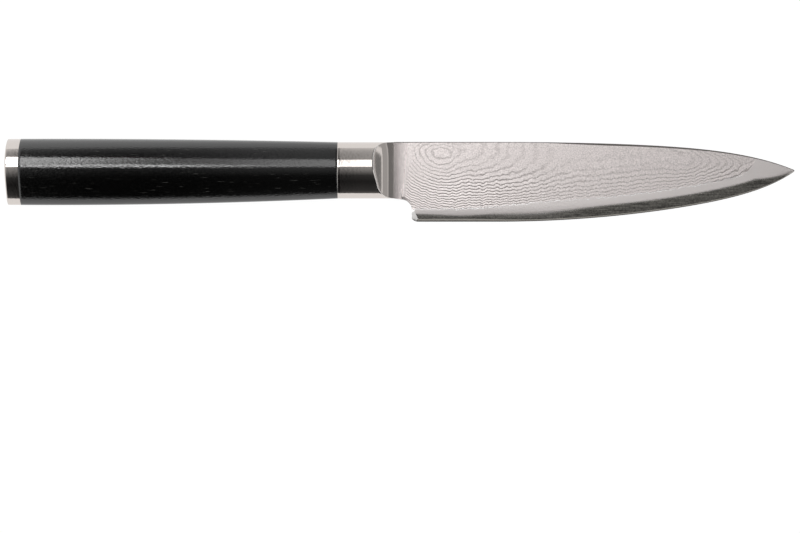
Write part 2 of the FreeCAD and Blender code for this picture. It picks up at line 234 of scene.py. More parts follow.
class FinishColours(bpy.types.PropertyGroup):
    """Colours of the finishes."""

    bright_sheet: colour("Bright sheet", "#eee6e4", "Etched cladding that resists the acid")
    dark_sheet: colour("Dark sheet", "#958e8c", "Etched cladding that the acid darkens")
    neck: colour("Neck", "#beb6b4", "Cladding polished satin beside the bolster")
    seam: colour("Seam", "#ffffff", "Bright last sheet beside the core")
    core: colour("Core", "#dad4d2", "Fine-ground core steel")
    # The honed band's darker colour is painted shade over the honed steel.
    honed: colour("Honed band", "#98958f", "Core steel honed smooth above the edge")
    bevel: colour("Cutting bevel", "#b8b4af", "Bevel off a fine stone")
    # The dark line along the very edge and round the heel's corner is painted shade.
    painted_edge_shade: colour("Stoned edge", "#4a4744", "Line that the sharpening stone left at the very edge")
    # The spine's dark colour is painted shade along its eased corner; the belt left it duller.
    spine: colour("Spine", "#625e5b", "Spine left as the belt ground it")
    bolster: colour("Steel ends", "#d4cdc8", "Polished bolster and end cap")
    # The rims' near-white colour is a painted highlight, on the bolster's rim and on the heel's facets.
    rim: colour("Rims", "#fbf9f7", "Buffed rim of the hollows")
    wood: colour("Wood", "#030303", "Black resin-filled wood")
    grain: colour("Grain", "#343432", "Open grain of the wood")
    glue: colour("Glue", "#5c4a2c", "Cured epoxy")
    tang: colour("Tang", "#8d8a86", "Mill scale on the tang")


class StageSettings(bpy.types.PropertyGroup):
    """Camera, floor and light. Places of lamps along the knife are counted from its middle."""

    camera_height: size("Camera height", 775.0, "Above the blade")
    view_width: size("View width", 210.6, "Width of the picture at the blade")
    view_x: size("View centre along", 103.2, "From the butt")
    view_y: size("View centre across", -25.0, "From the handle axis")
    floor_reach: size("Floor reach", 4000.0, "From the knife to the floor's rims")
    paper: colour("Paper", "#4c4c4c", "The floor as the light falls on it")
    paper_glow: radiance("Paper glow", 0.97, "How white the floor looks to the camera and to the steel")
    white: colour("White", "#ffffff", "Colour of the paper's glow, and of the room to the camera")
    softbox_height: size("Softbox height", 1300.0, "Above the floor")
    softbox_from: angle("Softbox from", 1.6, "Lower rim, from straight up towards the spine side")
    softbox_to: angle("Softbox to", 44.0, "Upper rim, from straight up towards the spine side")
    softbox_light: radiance("Softbox light", 1.75, "Radiance of the softbox over the blade")
    grip_light: radiance("Grip light", 0.24, "Radiance of the softbox's part over the grip")
    softbox_start: size("Softbox start", -1200.0, "Butt end of the softbox")
    softbox_split: size("Softbox split", -48.0, "End of the softbox's part over the grip")
    softbox_end: size("Softbox end", 235.0, "Point end of the softbox")
    bulb_from: angle("Bulb from", 0.8, "Lower rim of the softbox's bright end")
    bulb_to: angle("Bulb to", 9.5, "Upper rim of the softbox's bright end")
    bulb_light: radiance("Bulb light", 6.5, "Radiance of the bright end")
    bulb_start: size("Bulb start", -320.0, "Butt end of the bright end")
    bulb_end: size("Bulb end", -85.0, "Point end of the bright end")
    bulb_drop: size("Bulb drop", 40.0, "How far the bright end hangs below the softbox")
    glow_from: angle("Glow from", 13, "Lower rim of the glow")
    glow_light: radiance("Glow light", 4.6, "Radiance of the glow at the butt")
    glow_start: size("Glow start", -360.0, "Butt end of the glow")
    glow_end: size("Glow end", -215.0, "Point end of the glow")
    glow_drop: size("Glow drop", 80.0, "How far the glow hangs below the softbox")


class KnifeSettings(bpy.types.PropertyGroup):
    """Everything that can be set."""

    handle: PointerProperty(type=HandleSizes, name="Handle", description="Sizes of the handle")
    blade: PointerProperty(type=BladeSizes, name="Blade", description="Sizes of the blade")
    finish: PointerProperty(type=FinishColours, name="Finish", description="Colours of the finishes")
    stage: PointerProperty(type=StageSettings, name="Stage", description="Camera, floor and light")


def own_settings(group):
    """The settings that a group declares itself."""
    return [prop for prop in group.bl_rna.properties if prop.identifier not in ("rna_type", "name")]


def in_mm(group):
    """The settings as plain values, lengths in millimetres."""
    values = {}
    for prop in own_settings(group):
        value = getattr(group, prop.identifier)
        values[prop.identifier] = value / MM if getattr(prop, "unit", "NONE") == "LENGTH" else value
    return SimpleNamespace(**values)


def sizes():
    """Handle and blade sizes in millimetres, with the stations along the knife."""
    knife = bpy.context.scene.knife
    handle, blade = in_mm(knife.handle), in_mm(knife.blade)
    handle.joint_back = handle.cap_length
    handle.joint_front = handle.cap_length + handle.grip_length
    handle.weld = handle.joint_front + handle.bolster_length
    blade.weld = handle.weld
    blade.tip = blade.weld + blade.length
    blade.heel = blade.weld + blade.neck_length
    blade.spine_rise, blade.neck_drop = handle.neck_rise, handle.neck_drop
    blade.core_half = blade.core_thickness / 2
    return handle, blade


def datum():
    """Where the knife's own datum (butt, axis, blade middle) lies in the frame, in metres."""
    handle = bpy.context.scene.knife.handle
    return np.array([CAD_BOX[0][0], CAD_BOX[1][1] - handle.butt_rise, CAD_BOX[0][2] + handle.butt_back])


# Mesh helpers

def placed(points):
    """Points in millimetres on the knife's datum, as metres in the frame."""
    return np.asarray(points, dtype=float) * MM + datum()


def link_object(name, data):
    """A new object in the scene, at its origin."""
    obj = bpy.data.objects.new(name, data)
    bpy.context.collection.objects.link(obj)
    return obj


def solid_mesh(name, points, faces, values=None):
    """A closed mesh from points in millimetres, with named values at its points."""
    mesh = bpy.data.meshes.new(name)
    mesh.from_pydata(placed(points).tolist(), [], faces)
    for key, row in (values or {}).items():
        layer = mesh.attributes.new(key, "FLOAT", "POINT")
        layer.data.foreach_set("value", np.asarray(row, dtype=np.float32).ravel())
    return mesh


def solid_object(mesh, crease, zones=None):
    """A cleaned, smooth-shaded object of a mesh, with a material zone for each face."""
    if zones is not None:
        mesh.polygons.foreach_set("material_index", np.asarray(zones, dtype=np.int32))
    clean(mesh)
    soften(mesh, crease)
    return link_object(mesh.name, mesh)


def clean(mesh):
    """Merges doubles, drops collapsed faces, closes holes and turns the normals outwards."""
    bm = bmesh.new()
    bm.from_mesh(mesh)
    bmesh.ops.remove_doubles(bm, verts=bm.verts, dist=SAME_POINT)
    bmesh.ops.dissolve_degenerate(bm, edges=bm.edges, dist=COLLAPSED)
    bmesh.ops.holes_fill(bm, edges=bm.edges)
    bmesh.ops.recalc_face_normals(bm, faces=bm.faces)
    bm.to_mesh(mesh)
    bm.free()


def soften(mesh, crease):
    """Smooth shading that breaks at edges sharper than the crease, in degrees."""
    mesh.shade_smooth()
    mesh.set_sharp_from_angle(angle=math.radians(crease))


def tube(rings):
    """Points and faces of a tube through rings of equal length, closed at both ends."""
    count = len(rings[0])
    faces = []
    for row in range(len(rings) - 1):
        here, there = row * count, (row + 1) * count
        for point in range(count):
            beside = (point + 1) % count
            faces.append((here + point, here + beside, there + beside, there + point))
    faces.append(tuple(range(count - 1, -1, -1)))
    faces.append(tuple(range((len(rings) - 1) * count, len(rings) * count)))
    return np.concatenate(rings), faces


def dress(obj, slot, materials, *nodes):
    """Gives a piece its materials, puts it on the knife and lets it stand for its CAD nodes."""
    for material in materials:
        obj.data.materials.append(material)
    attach(obj, "root")
    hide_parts(*nodes)


def bake(obj):
    """Turns an object with modifiers into its plain mesh."""
    graph = bpy.context.evaluated_depsgraph_get()
    mesh = bpy.data.meshes.new_from_object(obj.evaluated_get(graph), depsgraph=graph)
    obj.modifiers.clear()
    obj.data = mesh


# Node helpers

def wire(tree, node, inputs):
    """Sets a node's inputs, or links them where the value is an output."""
    for key, value in inputs.items():
        if isinstance(value, bpy.types.NodeSocket):
            tree.links.new(value, node.inputs[key])
        else:
            node.inputs[key].default_value = value


def add_node(tree, kind, inputs=None, out=0, **settings):
    """Adds a node with its settings and inputs, and gives one of its outputs, or all if out is None."""
    node = tree.nodes.new(kind)
    for key, value in settings.items():
        setattr(node, key, value)
    wire(tree, node, inputs or {})
    return node.outputs if out is None else node.outputs[out]


def reckoned(tree, operation, *values):
    """The result of a math node."""
    return add_node(tree, "ShaderNodeMath", dict(enumerate(values)), operation=operation)


def ranged(tree, value, over=(0.0, 1.0), to=(0.0, 1.0), **settings):
    """A value that is mapped from one range to another."""
    return add_node(tree, "ShaderNodeMapRange", {"Value": value, "From Min": over[0], "From Max": over[1],
                                                 "To Min": to[0], "To Max": to[1]}, **settings)


def mixed(tree, factor, below, above, blend="MIX"):
    """A colour that is mixed of two."""
    return add_node(tree, "ShaderNodeMix", {"Factor": factor, 6: below, 7: above}, out=2, data_type="RGBA",
                    blend_type=blend)


def speckled(tree, vector, grain, detail=2.0):
    """Noise with grains of a size in metres."""
    return add_node(tree, "ShaderNodeTexNoise", {"Vector": vector, "Scale": 1 / grain, "Detail": detail})


def bumped(tree, height, depth, strength):
    """A normal that is bumped to a depth in metres."""
    return add_node(tree, "ShaderNodeBump", {"Height": height, "Strength": strength, "Distance": depth})


def new_tree(name, sockets):
    """A geometry node tree with a geometry input and output and the named inputs."""
    tree = bpy.data.node_groups.new(name, "GeometryNodeTree")
    tree.interface.new_socket("Geometry", in_out="INPUT", socket_type="NodeSocketGeometry")
    for socket, kind in sockets.items():
        tree.interface.new_socket(socket, in_out="INPUT", socket_type=kind)
    tree.interface.new_socket("Geometry", in_out="OUTPUT", socket_type="NodeSocketGeometry")
    return tree, add_node(tree, "NodeGroupInput", out=None)


def end_tree(tree, geometry, finish):
    """Ends a geometry node tree in real geometry with its material."""
    real = add_node(tree, "GeometryNodeRealizeInstances", {"Geometry": geometry})
    done = add_node(tree, "GeometryNodeSetMaterial", {"Geometry": real, "Material": finish})
    add_node(tree, "NodeGroupOutput", {"Geometry": done}, out=None)
    return tree


def run_nodes(obj, tree, values):
    """Runs a geometry node tree on an object and keeps the result as its plain mesh."""
    modifier = obj.modifiers.new(tree.name, "NODES")
    modifier.node_group = tree
    for item in tree.interface.items_tree:
        if item.in_out == "INPUT" and item.name in values:
            modifier[item.identifier] = values[item.name]
    bake(obj)


# Handle form

def bezier(p0, p1, p2, p3, count):
    """Points on a cubic curve, without its end."""
    t = (np.arange(count) / count)[:, None]
    p0, p1, p2, p3 = (np.array(p, dtype=float) for p in (p0, p1, p2, p3))
    return p0 * (1 - t) ** 3 + 3 * p1 * t * (1 - t) ** 2 + 3 * p2 * t ** 2 * (1 - t) + p3 * t ** 3


def reach(handle, x, name):
    """A reach of the section at x, on the parabola through its three stations."""
    values = vars(handle)
    run, middle = x / handle.joint_front, handle.middle_share
    return (values["butt_" + name] * (run - middle) * (run - 1) / middle
            - values["middle_" + name] * run * (run - 1) / (middle * (1 - middle))
            + values["neck_" + name] * run * (run - middle) / (1 - middle))


def tightened(handle, x, name):
    """A value of the section at x that changes evenly from the butt to the bolster."""
    values = vars(handle)
    return values["butt_" + name] + (values["neck_" + name] - values["butt_" + name]) * x / handle.joint_front


def section(handle, x, inset=0.0):
    """The D section at x: points (x, y, z) from the top round the ridge, the bottom and the back."""
    rise, drop, ridge, back = (reach(handle, x, name) - inset for name in ("rise", "drop", "ridge", "back"))
    radius, crown, flank = (tightened(handle, x, name) for name in ("radius", "crown", "flank"))
    upper, lower = handle.upper_angle, handle.lower_angle
    centre = np.array([handle.ridge_height, ridge - radius])
    crest_upper = centre + radius * np.array([math.sin(upper), math.cos(upper)])
    crest_lower = centre + radius * np.array([-math.sin(lower), math.cos(lower)])
    upper_run = (rise - crest_upper[0]) * flank
    lower_run = (drop + crest_lower[0]) * handle.lower_flank
    upper_pull = crest_upper + upper_run * np.array([1, -math.tan(upper)])
    lower_pull = crest_lower + lower_run * np.array([-1, -math.tan(lower)])
    # The handle's length that makes a cubic curve a quarter of an ellipse.
    round_share = 0.5523
    # The ridge's arc has four sixteenths of the points, and each curve three.
    part = handle.around // 16
    turns = np.linspace(upper, -lower, 4 * part, endpoint=False)
    outline = np.concatenate([
        bezier((rise, 0), (rise, ridge * crown), upper_pull, crest_upper, 3 * part),
        centre + radius * np.stack([np.sin(turns), np.cos(turns)], axis=1),
        bezier(crest_lower, lower_pull, (-drop, ridge * handle.lower_crown), (-drop, 0), 3 * part),
        bezier((-drop, 0), (-drop, -back * round_share), (-drop * round_share, -back), (0, -back), 3 * part),
        bezier((0, -back), (rise * round_share, -back), (rise, -back * round_share), (rise, 0), 3 * part),
    ])
    return np.column_stack([np.full(len(outline), x), outline])


def loft_tree():
    """Geometry nodes that loft a tube through three like sections, between two shares of their length."""
    tree, given = new_tree("Handle loft", {
        "Rings": "NodeSocketInt", "Around": "NodeSocketInt", "From": "NodeSocketFloat",
        "To": "NodeSocketFloat", "Middle": "NodeSocketFloat", "Finish": "NodeSocketMaterial"})
    around = given["Around"]
    seam = reckoned(tree, "ADD", around, 1.0)
    grid = add_node(tree, "GeometryNodeMeshGrid", {"Vertices X": given["Rings"], "Vertices Y": seam})
    index = add_node(tree, "GeometryNodeInputIndex")
    ring = reckoned(tree, "DIVIDE", index, seam)
    ring = reckoned(tree, "FLOOR", ring)
    last = reckoned(tree, "SUBTRACT", given["Rings"], 1.0)
    along = reckoned(tree, "DIVIDE", ring, last)
    run = ranged(tree, along, to=(given["From"], given["To"]), clamp=False)
    column = reckoned(tree, "MODULO", index, seam)
    column = reckoned(tree, "MODULO", column, around)
    position = add_node(tree, "GeometryNodeInputPosition")
    # Each section counts by its Lagrange weight, so the tube runs through all three.
    stations = (0.0, given["Middle"], 1.0)
    form = (0.0, 0.0, 0.0)
    for k, station in enumerate(stations):
        weight = 1.0
        for other in stations[:k] + stations[k + 1:]:
            over = reckoned(tree, "SUBTRACT", run, other)
            under = reckoned(tree, "SUBTRACT", station, other)
            factor = reckoned(tree, "DIVIDE", over, under)
            weight = reckoned(tree, "MULTIPLY", weight, factor)
        place = reckoned(tree, "MULTIPLY_ADD", around, float(k), column)
        sample = add_node(tree, "GeometryNodeSampleIndex",
                          {"Geometry": given["Geometry"], "Value": position, "Index": place},
                          data_type="FLOAT_VECTOR", domain="POINT")
        scaled = add_node(tree, "ShaderNodeVectorMath", {0: sample, "Scale": weight}, operation="SCALE")
        form = add_node(tree, "ShaderNodeVectorMath", {0: form, 1: scaled}, operation="ADD")
    formed = add_node(tree, "GeometryNodeSetPosition", {"Geometry": grid, "Position": form})
    joined = add_node(tree, "GeometryNodeMergeByDistance", {"Geometry": formed, "Distance": CLOSED_SEAM})
    return end_tree(tree, joined, given["Finish"])


def lofted(name, handle, x0, x1, rings, finish):
    """A closed length of the handle form between two stations, with its two rims bevelled."""
    loops = [section(handle, x) for x in (0.0, handle.joint_front * handle.middle_share, handle.joint_front)]
    count = len(loops[0])
    edges = [(k * count + i, k * count + (i + 1) % count) for k in range(3) for i in range(count)]
    mesh = bpy.data.meshes.new(name)
    mesh.from_pydata(placed(np.concatenate(loops)).tolist(), edges, [])
    obj = link_object(name, mesh)
    run_nodes(obj, loft_tree(), {
        "Rings": rings, "Around": count, "From": x0 / handle.joint_front, "To": x1 / handle.joint_front,
        "Middle": handle.middle_share, "Finish": finish})
    clean(obj.data)
    bevel = obj.modifiers.new("Joint edges", "BEVEL")
    bevel.width = handle.joint_ease * MM
    bevel.segments = 2
    bevel.limit_method = "ANGLE"
    bevel.angle_limit = math.radians(JOINT_CREASE)
    bake(obj)
    soften(obj.data, WOOD_CREASE)
    return obj


# Blade form

# How an outline sweeps to the point: the share that goes with the square of the way, and the rest's power.
SPINE_SWEEP = (0.42, 6)
EDGE_SWEEP = (0.74, 10)
# The heel's facets leave at least this share of the face's thickness.
LEAST_FACE_SHARE = 0.15
# From the heel, in mm: where the cutting bevel loses its extra height, and where the bare core gets higher.
HEEL_BEVEL_RUN = (15, 35)
BARE_RUN = (10, 40)
# How much more the belt took off the spine's corner towards the point, and between where, from the weld.
SPINE_EASE_GAIN = (3, 35, 60)
# Part of the edge's columns that crowd towards the point.
CROWD_SHARE = 0.25
# Steps in which a line is searched for a crossing.
COLUMN_STEPS = 400
HOLLOW_STEPS = 160


def smooth(value, low, high):
    """0 below low, 1 above high, and a smooth rise between."""
    t = np.clip((value - low) / (high - low), 0, 1)
    return t * t * (3 - 2 * t)


def eased(value, change):
    """A change that comes in smoothly: its amount, and the two places between which it does."""
    gain, low, high = change
    return gain * smooth(value, low, high)


def waves(value, parts):
    """A sum of sine waves, each with its height, its turn in radians per mm and its start."""
    return sum(height * np.sin(value * turn + start) for height, turn, start in parts)


def swept(blade, x, straight, weight, power):
    """How far, from 0 to 1, an outline has swept from its straight part to the point."""
    start = blade.weld + straight
    run = np.clip((x - start) / (blade.tip - start), 0, None)
    return weight * run ** 2 + (1 - weight) * run ** power


def spine_line(blade, x):
    """Height of the spine at x."""
    fall = blade.spine_rise - blade.tip_rise - blade.tip_width / 2
    return blade.spine_rise - fall * swept(blade, x, blade.spine_straight, *SPINE_SWEEP)


def edge_line(blade, x):
    """Height of the edge at x."""
    climb = blade.edge_drop + blade.tip_rise - blade.tip_width / 2
    return -blade.edge_drop + climb * swept(blade, x, blade.edge_straight, *EDGE_SWEEP)


def spine_half(blade, x):
    """Half the spine's thickness at x."""
    run = (x - blade.weld) / blade.length
    return (blade.spine_thickness - (blade.spine_thickness - blade.tip_thickness) * run ** 2) / 2


def ground(blade, x, y):
    """Half the blade's thickness over any point of its plan, with the heel's polished facets."""
    face = ground_face(blade, x, y)
    return np.clip(np.maximum(face - facet_drop(blade, x, y), LEAST_FACE_SHARE * face), 0, None)


def bevel_height(blade, x):
    """Height of the cutting bevel, which shrinks towards the point as the blade gets lower."""
    height = spine_line(blade, x) - edge_line(blade, x)
    taller = blade.heel_bevel * (1 - smooth(x - blade.heel, *HEEL_BEVEL_RUN))
    return (blade.bevel_height + taller) * height / (height + blade.zone_fade)


def ground_face(blade, x, y):
    """Half the blade's thickness before the heel's facets are ground."""
    spine, edge, half = spine_line(blade, x), edge_line(blade, x), spine_half(blade, x)
    height = spine - edge
    zone, bevel = blade.zone_height * height / (height + blade.zone_fade), bevel_height(blade, x)
    behind = bevel * math.tan(blade.bevel_angle)
    climb = (zone - bevel) / (height - bevel)
    zone_half = behind + (half - behind) * climb * (1 + blade.zone_bulge * (1 - climb))
    slope = (half - zone_half) / (height - zone)
    above = y - edge
    flat = half - slope * (spine - y)
    u = np.clip((above - bevel) / (zone - bevel), 0, 1)
    pull = zone_half - slope * (zone - bevel) / 2
    convex = behind * (1 - u) ** 2 + 2 * pull * u * (1 - u) + zone_half * u ** 2
    return np.where(above >= zone, flat, np.where(above >= bevel, convex, behind * above / bevel))


def facet_drop(blade, x, y):
    """How much is polished off round the heel: a flat facet at its corner, and a bevel along the hollow."""
    inner = np.array([blade.facet_length, -blade.facet_height])
    across = np.array([inner[1], -inner[0]]) / np.linalg.norm(inner)
    past = (x - blade.heel) * across[0] + (y + blade.edge_drop - blade.facet_height) * across[1]
    corner = (blade.corner_rise - blade.facet_height) * across[1]
    fall = blade.facet_fall * np.clip(past, 0, None) / corner
    flat = np.where(y < blade.facet_height - blade.edge_drop, fall, 0)
    radius = blade.heel_hollow
    from_centre = np.hypot(x - blade.heel + radius, y + blade.neck_drop + blade.neck_fall + radius)
    bevel = blade.choil_fall * np.clip(1 - (from_centre - radius) / blade.choil_width, 0, 1)
    return np.maximum(flat, np.where(x > blade.heel - radius, bevel, 0))


def lower_outline(blade):
    """The outline from the weld to the point, and the columns where the edge and the heel's corner start."""
    start = np.array([blade.heel - blade.heel_hollow, -blade.neck_drop - blade.neck_fall])
    weld = np.array([blade.weld, -blade.neck_drop])
    neck = weld + (start - weld) * np.linspace(0, 1, NECK_COLUMNS, endpoint=False)[:, None]
    turn = np.linspace(math.pi / 2, 0, HOLLOW_COLUMNS, endpoint=False)
    hollow = start + blade.heel_hollow * np.column_stack([np.cos(turn), np.sin(turn) - 1])
    corner_top = blade.corner_rise - blade.edge_drop
    rise = np.linspace(start[1] - blade.heel_hollow, corner_top, HEEL_COLUMNS, endpoint=False)
    heel = np.column_stack([np.full(len(rise), blade.heel), rise])
    # The corner is a parabola that ends where it meets the edge.
    depth = blade.corner_rise + blade.corner_sink
    meet = 1 - math.sqrt(blade.corner_sink / depth)
    t = np.linspace(0, meet, CORNER_COLUMNS, endpoint=False)
    corner_x = blade.heel + blade.corner_run * t ** 2
    corner = np.column_stack([corner_x, corner_top - depth * (1 - (1 - t) ** 2)])
    edge_start = blade.heel + blade.corner_run * meet ** 2
    run = np.linspace(0, 1, EDGE_COLUMNS)
    run = (1 - CROWD_SHARE) * run + CROWD_SHARE * (1 - (1 - run) ** 2)
    x = edge_start + (blade.tip - edge_start) * run
    before = np.concatenate([neck, hollow, heel, corner])
    outline = np.concatenate([before, np.column_stack([x, edge_line(blade, x)])])
    return outline, len(before), len(before) - len(corner)


def blade_plan(blade):
    """Columns of the blade from its spine (top) to its outline (foot), with each one's share of cladding."""
    foot, split, corner = lower_outline(blade)
    x = foot[:, 0].copy()
    steps = np.linalg.norm(np.diff(foot[NECK_COLUMNS:split + 1], axis=0), axis=1)
    travel = np.concatenate([[0], np.cumsum(steps)]) / steps.sum()
    x[NECK_COLUMNS:split + 1] = x[NECK_COLUMNS] + travel * (x[split] - x[NECK_COLUMNS])
    top = np.column_stack([x, spine_line(blade, x)])
    ease = blade.ease_share * spine_half(blade, x)
    broken = ease * (1 + eased(x - blade.weld, SPINE_EASE_GAIN))
    shoulder = top - np.column_stack([np.zeros(len(x)), broken])
    scan = np.linspace(0, 1, COLUMN_STEPS)
    px = shoulder[:, :1] + (foot - shoulder)[:, :1] * scan
    py = shoulder[:, 1:] + (foot - shoulder)[:, 1:] * scan
    core_share = np.ones(len(x))
    for i, row in enumerate(py - core_line(blade, px)):
        under = np.nonzero(row < 0)[0]
        if len(under):
            k = under[0]
            core_share[i] = scan[k] if k == 0 else scan[k - 1] + scan[1] * row[k - 1] / (row[k - 1] - row[k])
    inner = np.minimum(blade.core_half, spine_half(blade, x) - ease)
    return SimpleNamespace(foot=foot, top=top, shoulder=shoulder, core_share=core_share, split=split,
                           corner=corner, ease=ease, inner=inner)


def bare_height(blade, x):
    """Height of the bare core above the edge."""
    return blade.bare_heel + (blade.bare_belly - blade.bare_heel) * smooth(x - blade.heel, *BARE_RUN)


# Sheet pattern

# Lengths here are in mm. A change has its amount first, then the two places between which it comes in.
# Waves of the core line, and of the line where the etch starts at the neck.
CORE_WAVES = ((0.10, 2.7, 0), (0.07, 4.3, 1.3), (0.08, 1.1, 0.4))
FRONT_WAVES = ((0.25, 4.1, 0), (0.2, 7.7, 1))
# The cladding's nose is rounded by this power, where 2 is an ellipse.
NOSE_POWER = 2.4
# Least height of the cladding that the pattern reckons with.
LEAST_CLADDING = 0.3
# The eye leans forward towards the core, and the bows reach back from it by their length.
EYE_LEAN = 5
BOW_LENGTH = 20
# Past the eye: where the bows open to the spine, and how far they count as down again between eye and spine.
EYE_OPENING = (2, 20)
UPPER_BOW_SHARE = 0.3
# Past the eye: the sheet in it, those that are always left, those that run out through the spine, and how the
# rest crowd to the core.
FIRST_SHEET = 0.4
LAST_SHEETS = 0.5
SPINE_RUNOUTS = ((1.5, 0, 6), (6.5, 2, 36))
CROWDING = 1.5
CROWDING_CHANGES = ((0.9, 0, 24), (-0.4, 30, 50))
# At the cladding's nose: how many more sheets run out, over what length and by what power.
NOSE_SHEETS = 9
NOSE_RUN = 18
NOSE_RISE = 1.3
# From the point: bows that close again towards the spine, in the upper half of the cladding.
POINT_BOWS = (4, -42, -22)
POINT_BOW_SHARE = 0.5
# Strength of the lines at the spine, what they gain towards the core, and their least strength at both ends.
SPINE_STRENGTH = 0.22
CORE_STRENGTH = (0.85, 0.3, 0.75)
EYE_STRENGTH = 0.4
EYE_RUN = 9
POINT_STRENGTH = (0.42, -40, -30)
# Strength that the lines lose along the belly, from the weld, and win back near the point.
BELLY_LOSS = (0.64, 18, 48)
POINT_GAIN = (0.15, -36, -24)
# Where the etch starts: from the heel, further on towards the spine, and over what half width.
FRONT_START = -1.4
FRONT_LEAN = (2.0, -1, 5)
FRONT_BLUR = 0.8
# The polished neck: from the weld, and to the heel, further on towards the spine.
POLISH_START = -0.5
POLISH_END = -0.8
POLISH_LEAN = 2.4


def core_line(blade, x):
    """The slightly wavy line where the cladding ends and the core is bare, round at the point."""
    line = edge_line(blade, x) + bare_height(blade, x) + waves(x, CORE_WAVES)
    turn = np.clip((x - blade.tip + blade.bare_tip + blade.nose) / blade.nose, 0, 1)
    return line + (spine_line(blade, x) - line) * (1 - (1 - turn ** NOSE_POWER) ** (1 / NOSE_POWER))


def clad_depth(blade, x, y):
    """How far down the cladding a point lies: 0 at the spine, 1 at the core line."""
    spine = spine_line(blade, x)
    return np.clip((spine - y) / np.maximum(spine - core_line(blade, x), LEAST_CLADDING), 0, 1)


def sheet_number(blade, x, y):
    """Which sheet shows at a point: rising to the core, in bows round an eye that open to the spine."""
    depth = clad_depth(blade, x, y)
    past = x - (blade.heel + blade.eye_x + EYE_LEAN * depth)
    level = blade.eye_y / (blade.spine_rise + blade.edge_drop - blade.bare_heel)
    eye = level * (1 - smooth(past, *EYE_OPENING))
    down = np.where(depth >= eye, (depth - eye) / (1 - eye), UPPER_BOW_SHARE / level * (eye - depth))
    around = np.hypot(down, np.clip(-past, 0, None) / BOW_LENGTH)
    behind = sum(eased(past, change) for change in SPINE_RUNOUTS)
    nose = NOSE_SHEETS * np.clip((x - blade.tip + blade.bare_tip + NOSE_RUN) / NOSE_RUN, 0, 1) ** NOSE_RISE
    start = np.minimum(FIRST_SHEET + behind + nose, blade.sheets - LAST_SHEETS)
    crowding = CROWDING + sum(eased(past, change) for change in CROWDING_CHANGES)
    number = start + (blade.sheets + 1 - start) * around ** crowding
    return number + np.clip(1 - depth / POINT_BOW_SHARE, 0, 1) ** 2 * eased(x - blade.tip, POINT_BOWS)


def line_strength(blade, x, y):
    """How strongly the lines show: most towards the core and at the eye, least at the spine and the belly."""
    near_eye = EYE_STRENGTH * (1 - smooth(x - blade.heel - blade.eye_x, 0, EYE_RUN))
    ends = np.maximum(near_eye, eased(x - blade.tip, POINT_STRENGTH))
    clear = np.maximum(SPINE_STRENGTH + eased(clad_depth(blade, x, y), CORE_STRENGTH), ends)
    loss = eased(x - blade.weld, BELLY_LOSS) - eased(x - blade.tip, POINT_GAIN)
    start = blade.heel + FRONT_START + eased(y, FRONT_LEAN) + waves(y, FRONT_WAVES)
    return clear * (1 - loss) * smooth(x, start - FRONT_BLUR, start + FRONT_BLUR)


def neck_polish(blade, x, y):
    """1 where the polishing wheel has cleared the neck, 0 where the blade is blasted and etched."""
    up = (y + blade.neck_drop) / (blade.spine_rise + blade.neck_drop)
    return 1 - smooth(x, blade.weld + POLISH_START, blade.heel + POLISH_END + POLISH_LEAN * up)


def etched_tree():
    """Geometry nodes that wave the cladding's sheets and etch the dark ones down where the lines show."""
    tree, given = new_tree("Etched sheets", {
        "Wave size": "NodeSocketFloat", "Wave depth": "NodeSocketFloat", "Ripple size": "NodeSocketFloat",
        "Ripple depth": "NodeSocketFloat", "Relief": "NodeSocketFloat", "Seed": "NodeSocketFloat",
        "Finish": "NodeSocketMaterial"})
    number, bare = (add_node(tree, "GeometryNodeInputNamedAttribute", {"Name": name}, data_type="FLOAT")
                    for name in ("ground", "open"))
    position = add_node(tree, "GeometryNodeInputPosition")
    # Neighbouring lines ripple together, so the noise is drawn out across them.
    position = add_node(tree, "ShaderNodeVectorMath", {0: position, 1: (1.0, 0.6, 1.0)}, operation="MULTIPLY")
    for kind in ("Wave", "Ripple"):
        scale = reckoned(tree, "DIVIDE", 1.0, given[kind + " size"])
        noise = add_node(tree, "ShaderNodeTexNoise",
                         {"Vector": position, "W": given["Seed"], "Scale": scale, "Detail": 1.0},
                         noise_dimensions="4D")
        spread = ranged(tree, noise, (0.25, 0.75), (-1.0, 1.0), clamp=False)
        number = reckoned(tree, "MULTIPLY_ADD", spread, given[kind + " depth"], number)
    stored = add_node(tree, "GeometryNodeStoreNamedAttribute",
                      {"Geometry": given["Geometry"], "Name": "sheet", "Value": number},
                      data_type="FLOAT", domain="POINT")
    turn = reckoned(tree, "MULTIPLY", number, 2 * math.pi)
    swing = reckoned(tree, "COSINE", turn)
    fall = ranged(tree, swing, (-1.0, 1.0), (0.0, given["Relief"]))
    fall = reckoned(tree, "MULTIPLY", fall, bare)
    down = reckoned(tree, "MULTIPLY", fall, -1.0)
    normal = add_node(tree, "GeometryNodeInputNormal")
    offset = add_node(tree, "ShaderNodeVectorMath", {0: normal, "Scale": down}, operation="SCALE")
    etched = add_node(tree, "GeometryNodeSetPosition", {"Geometry": stored, "Offset": offset})
    return end_tree(tree, etched, given["Finish"])


# Materials

# Sizes of the marks on the surfaces: blasted pits, ground lines, peel and haze of the polish, fibres, pores.
GRIT_SIZE = 0.35 * MM
GRIND_SIZE = 0.3 * MM
PEEL_SIZE = 0.6 * MM
HAZE_SIZE = 4.0 * MM
FIBRE_SIZE = 0.28 * MM
PORE_SIZE = 0.4 * MM
# Depths of the marks.
ETCH_DEPTH = 0.03 * MM
GRIND_DEPTH = 0.015 * MM
PEEL_DEPTH = 0.015 * MM
FIBRE_DEPTH = 0.027 * MM
WORK_DEPTH = 0.03 * MM
# How much duller or brighter a worked surface gets from place to place.
WORK_SPREAD = 0.1
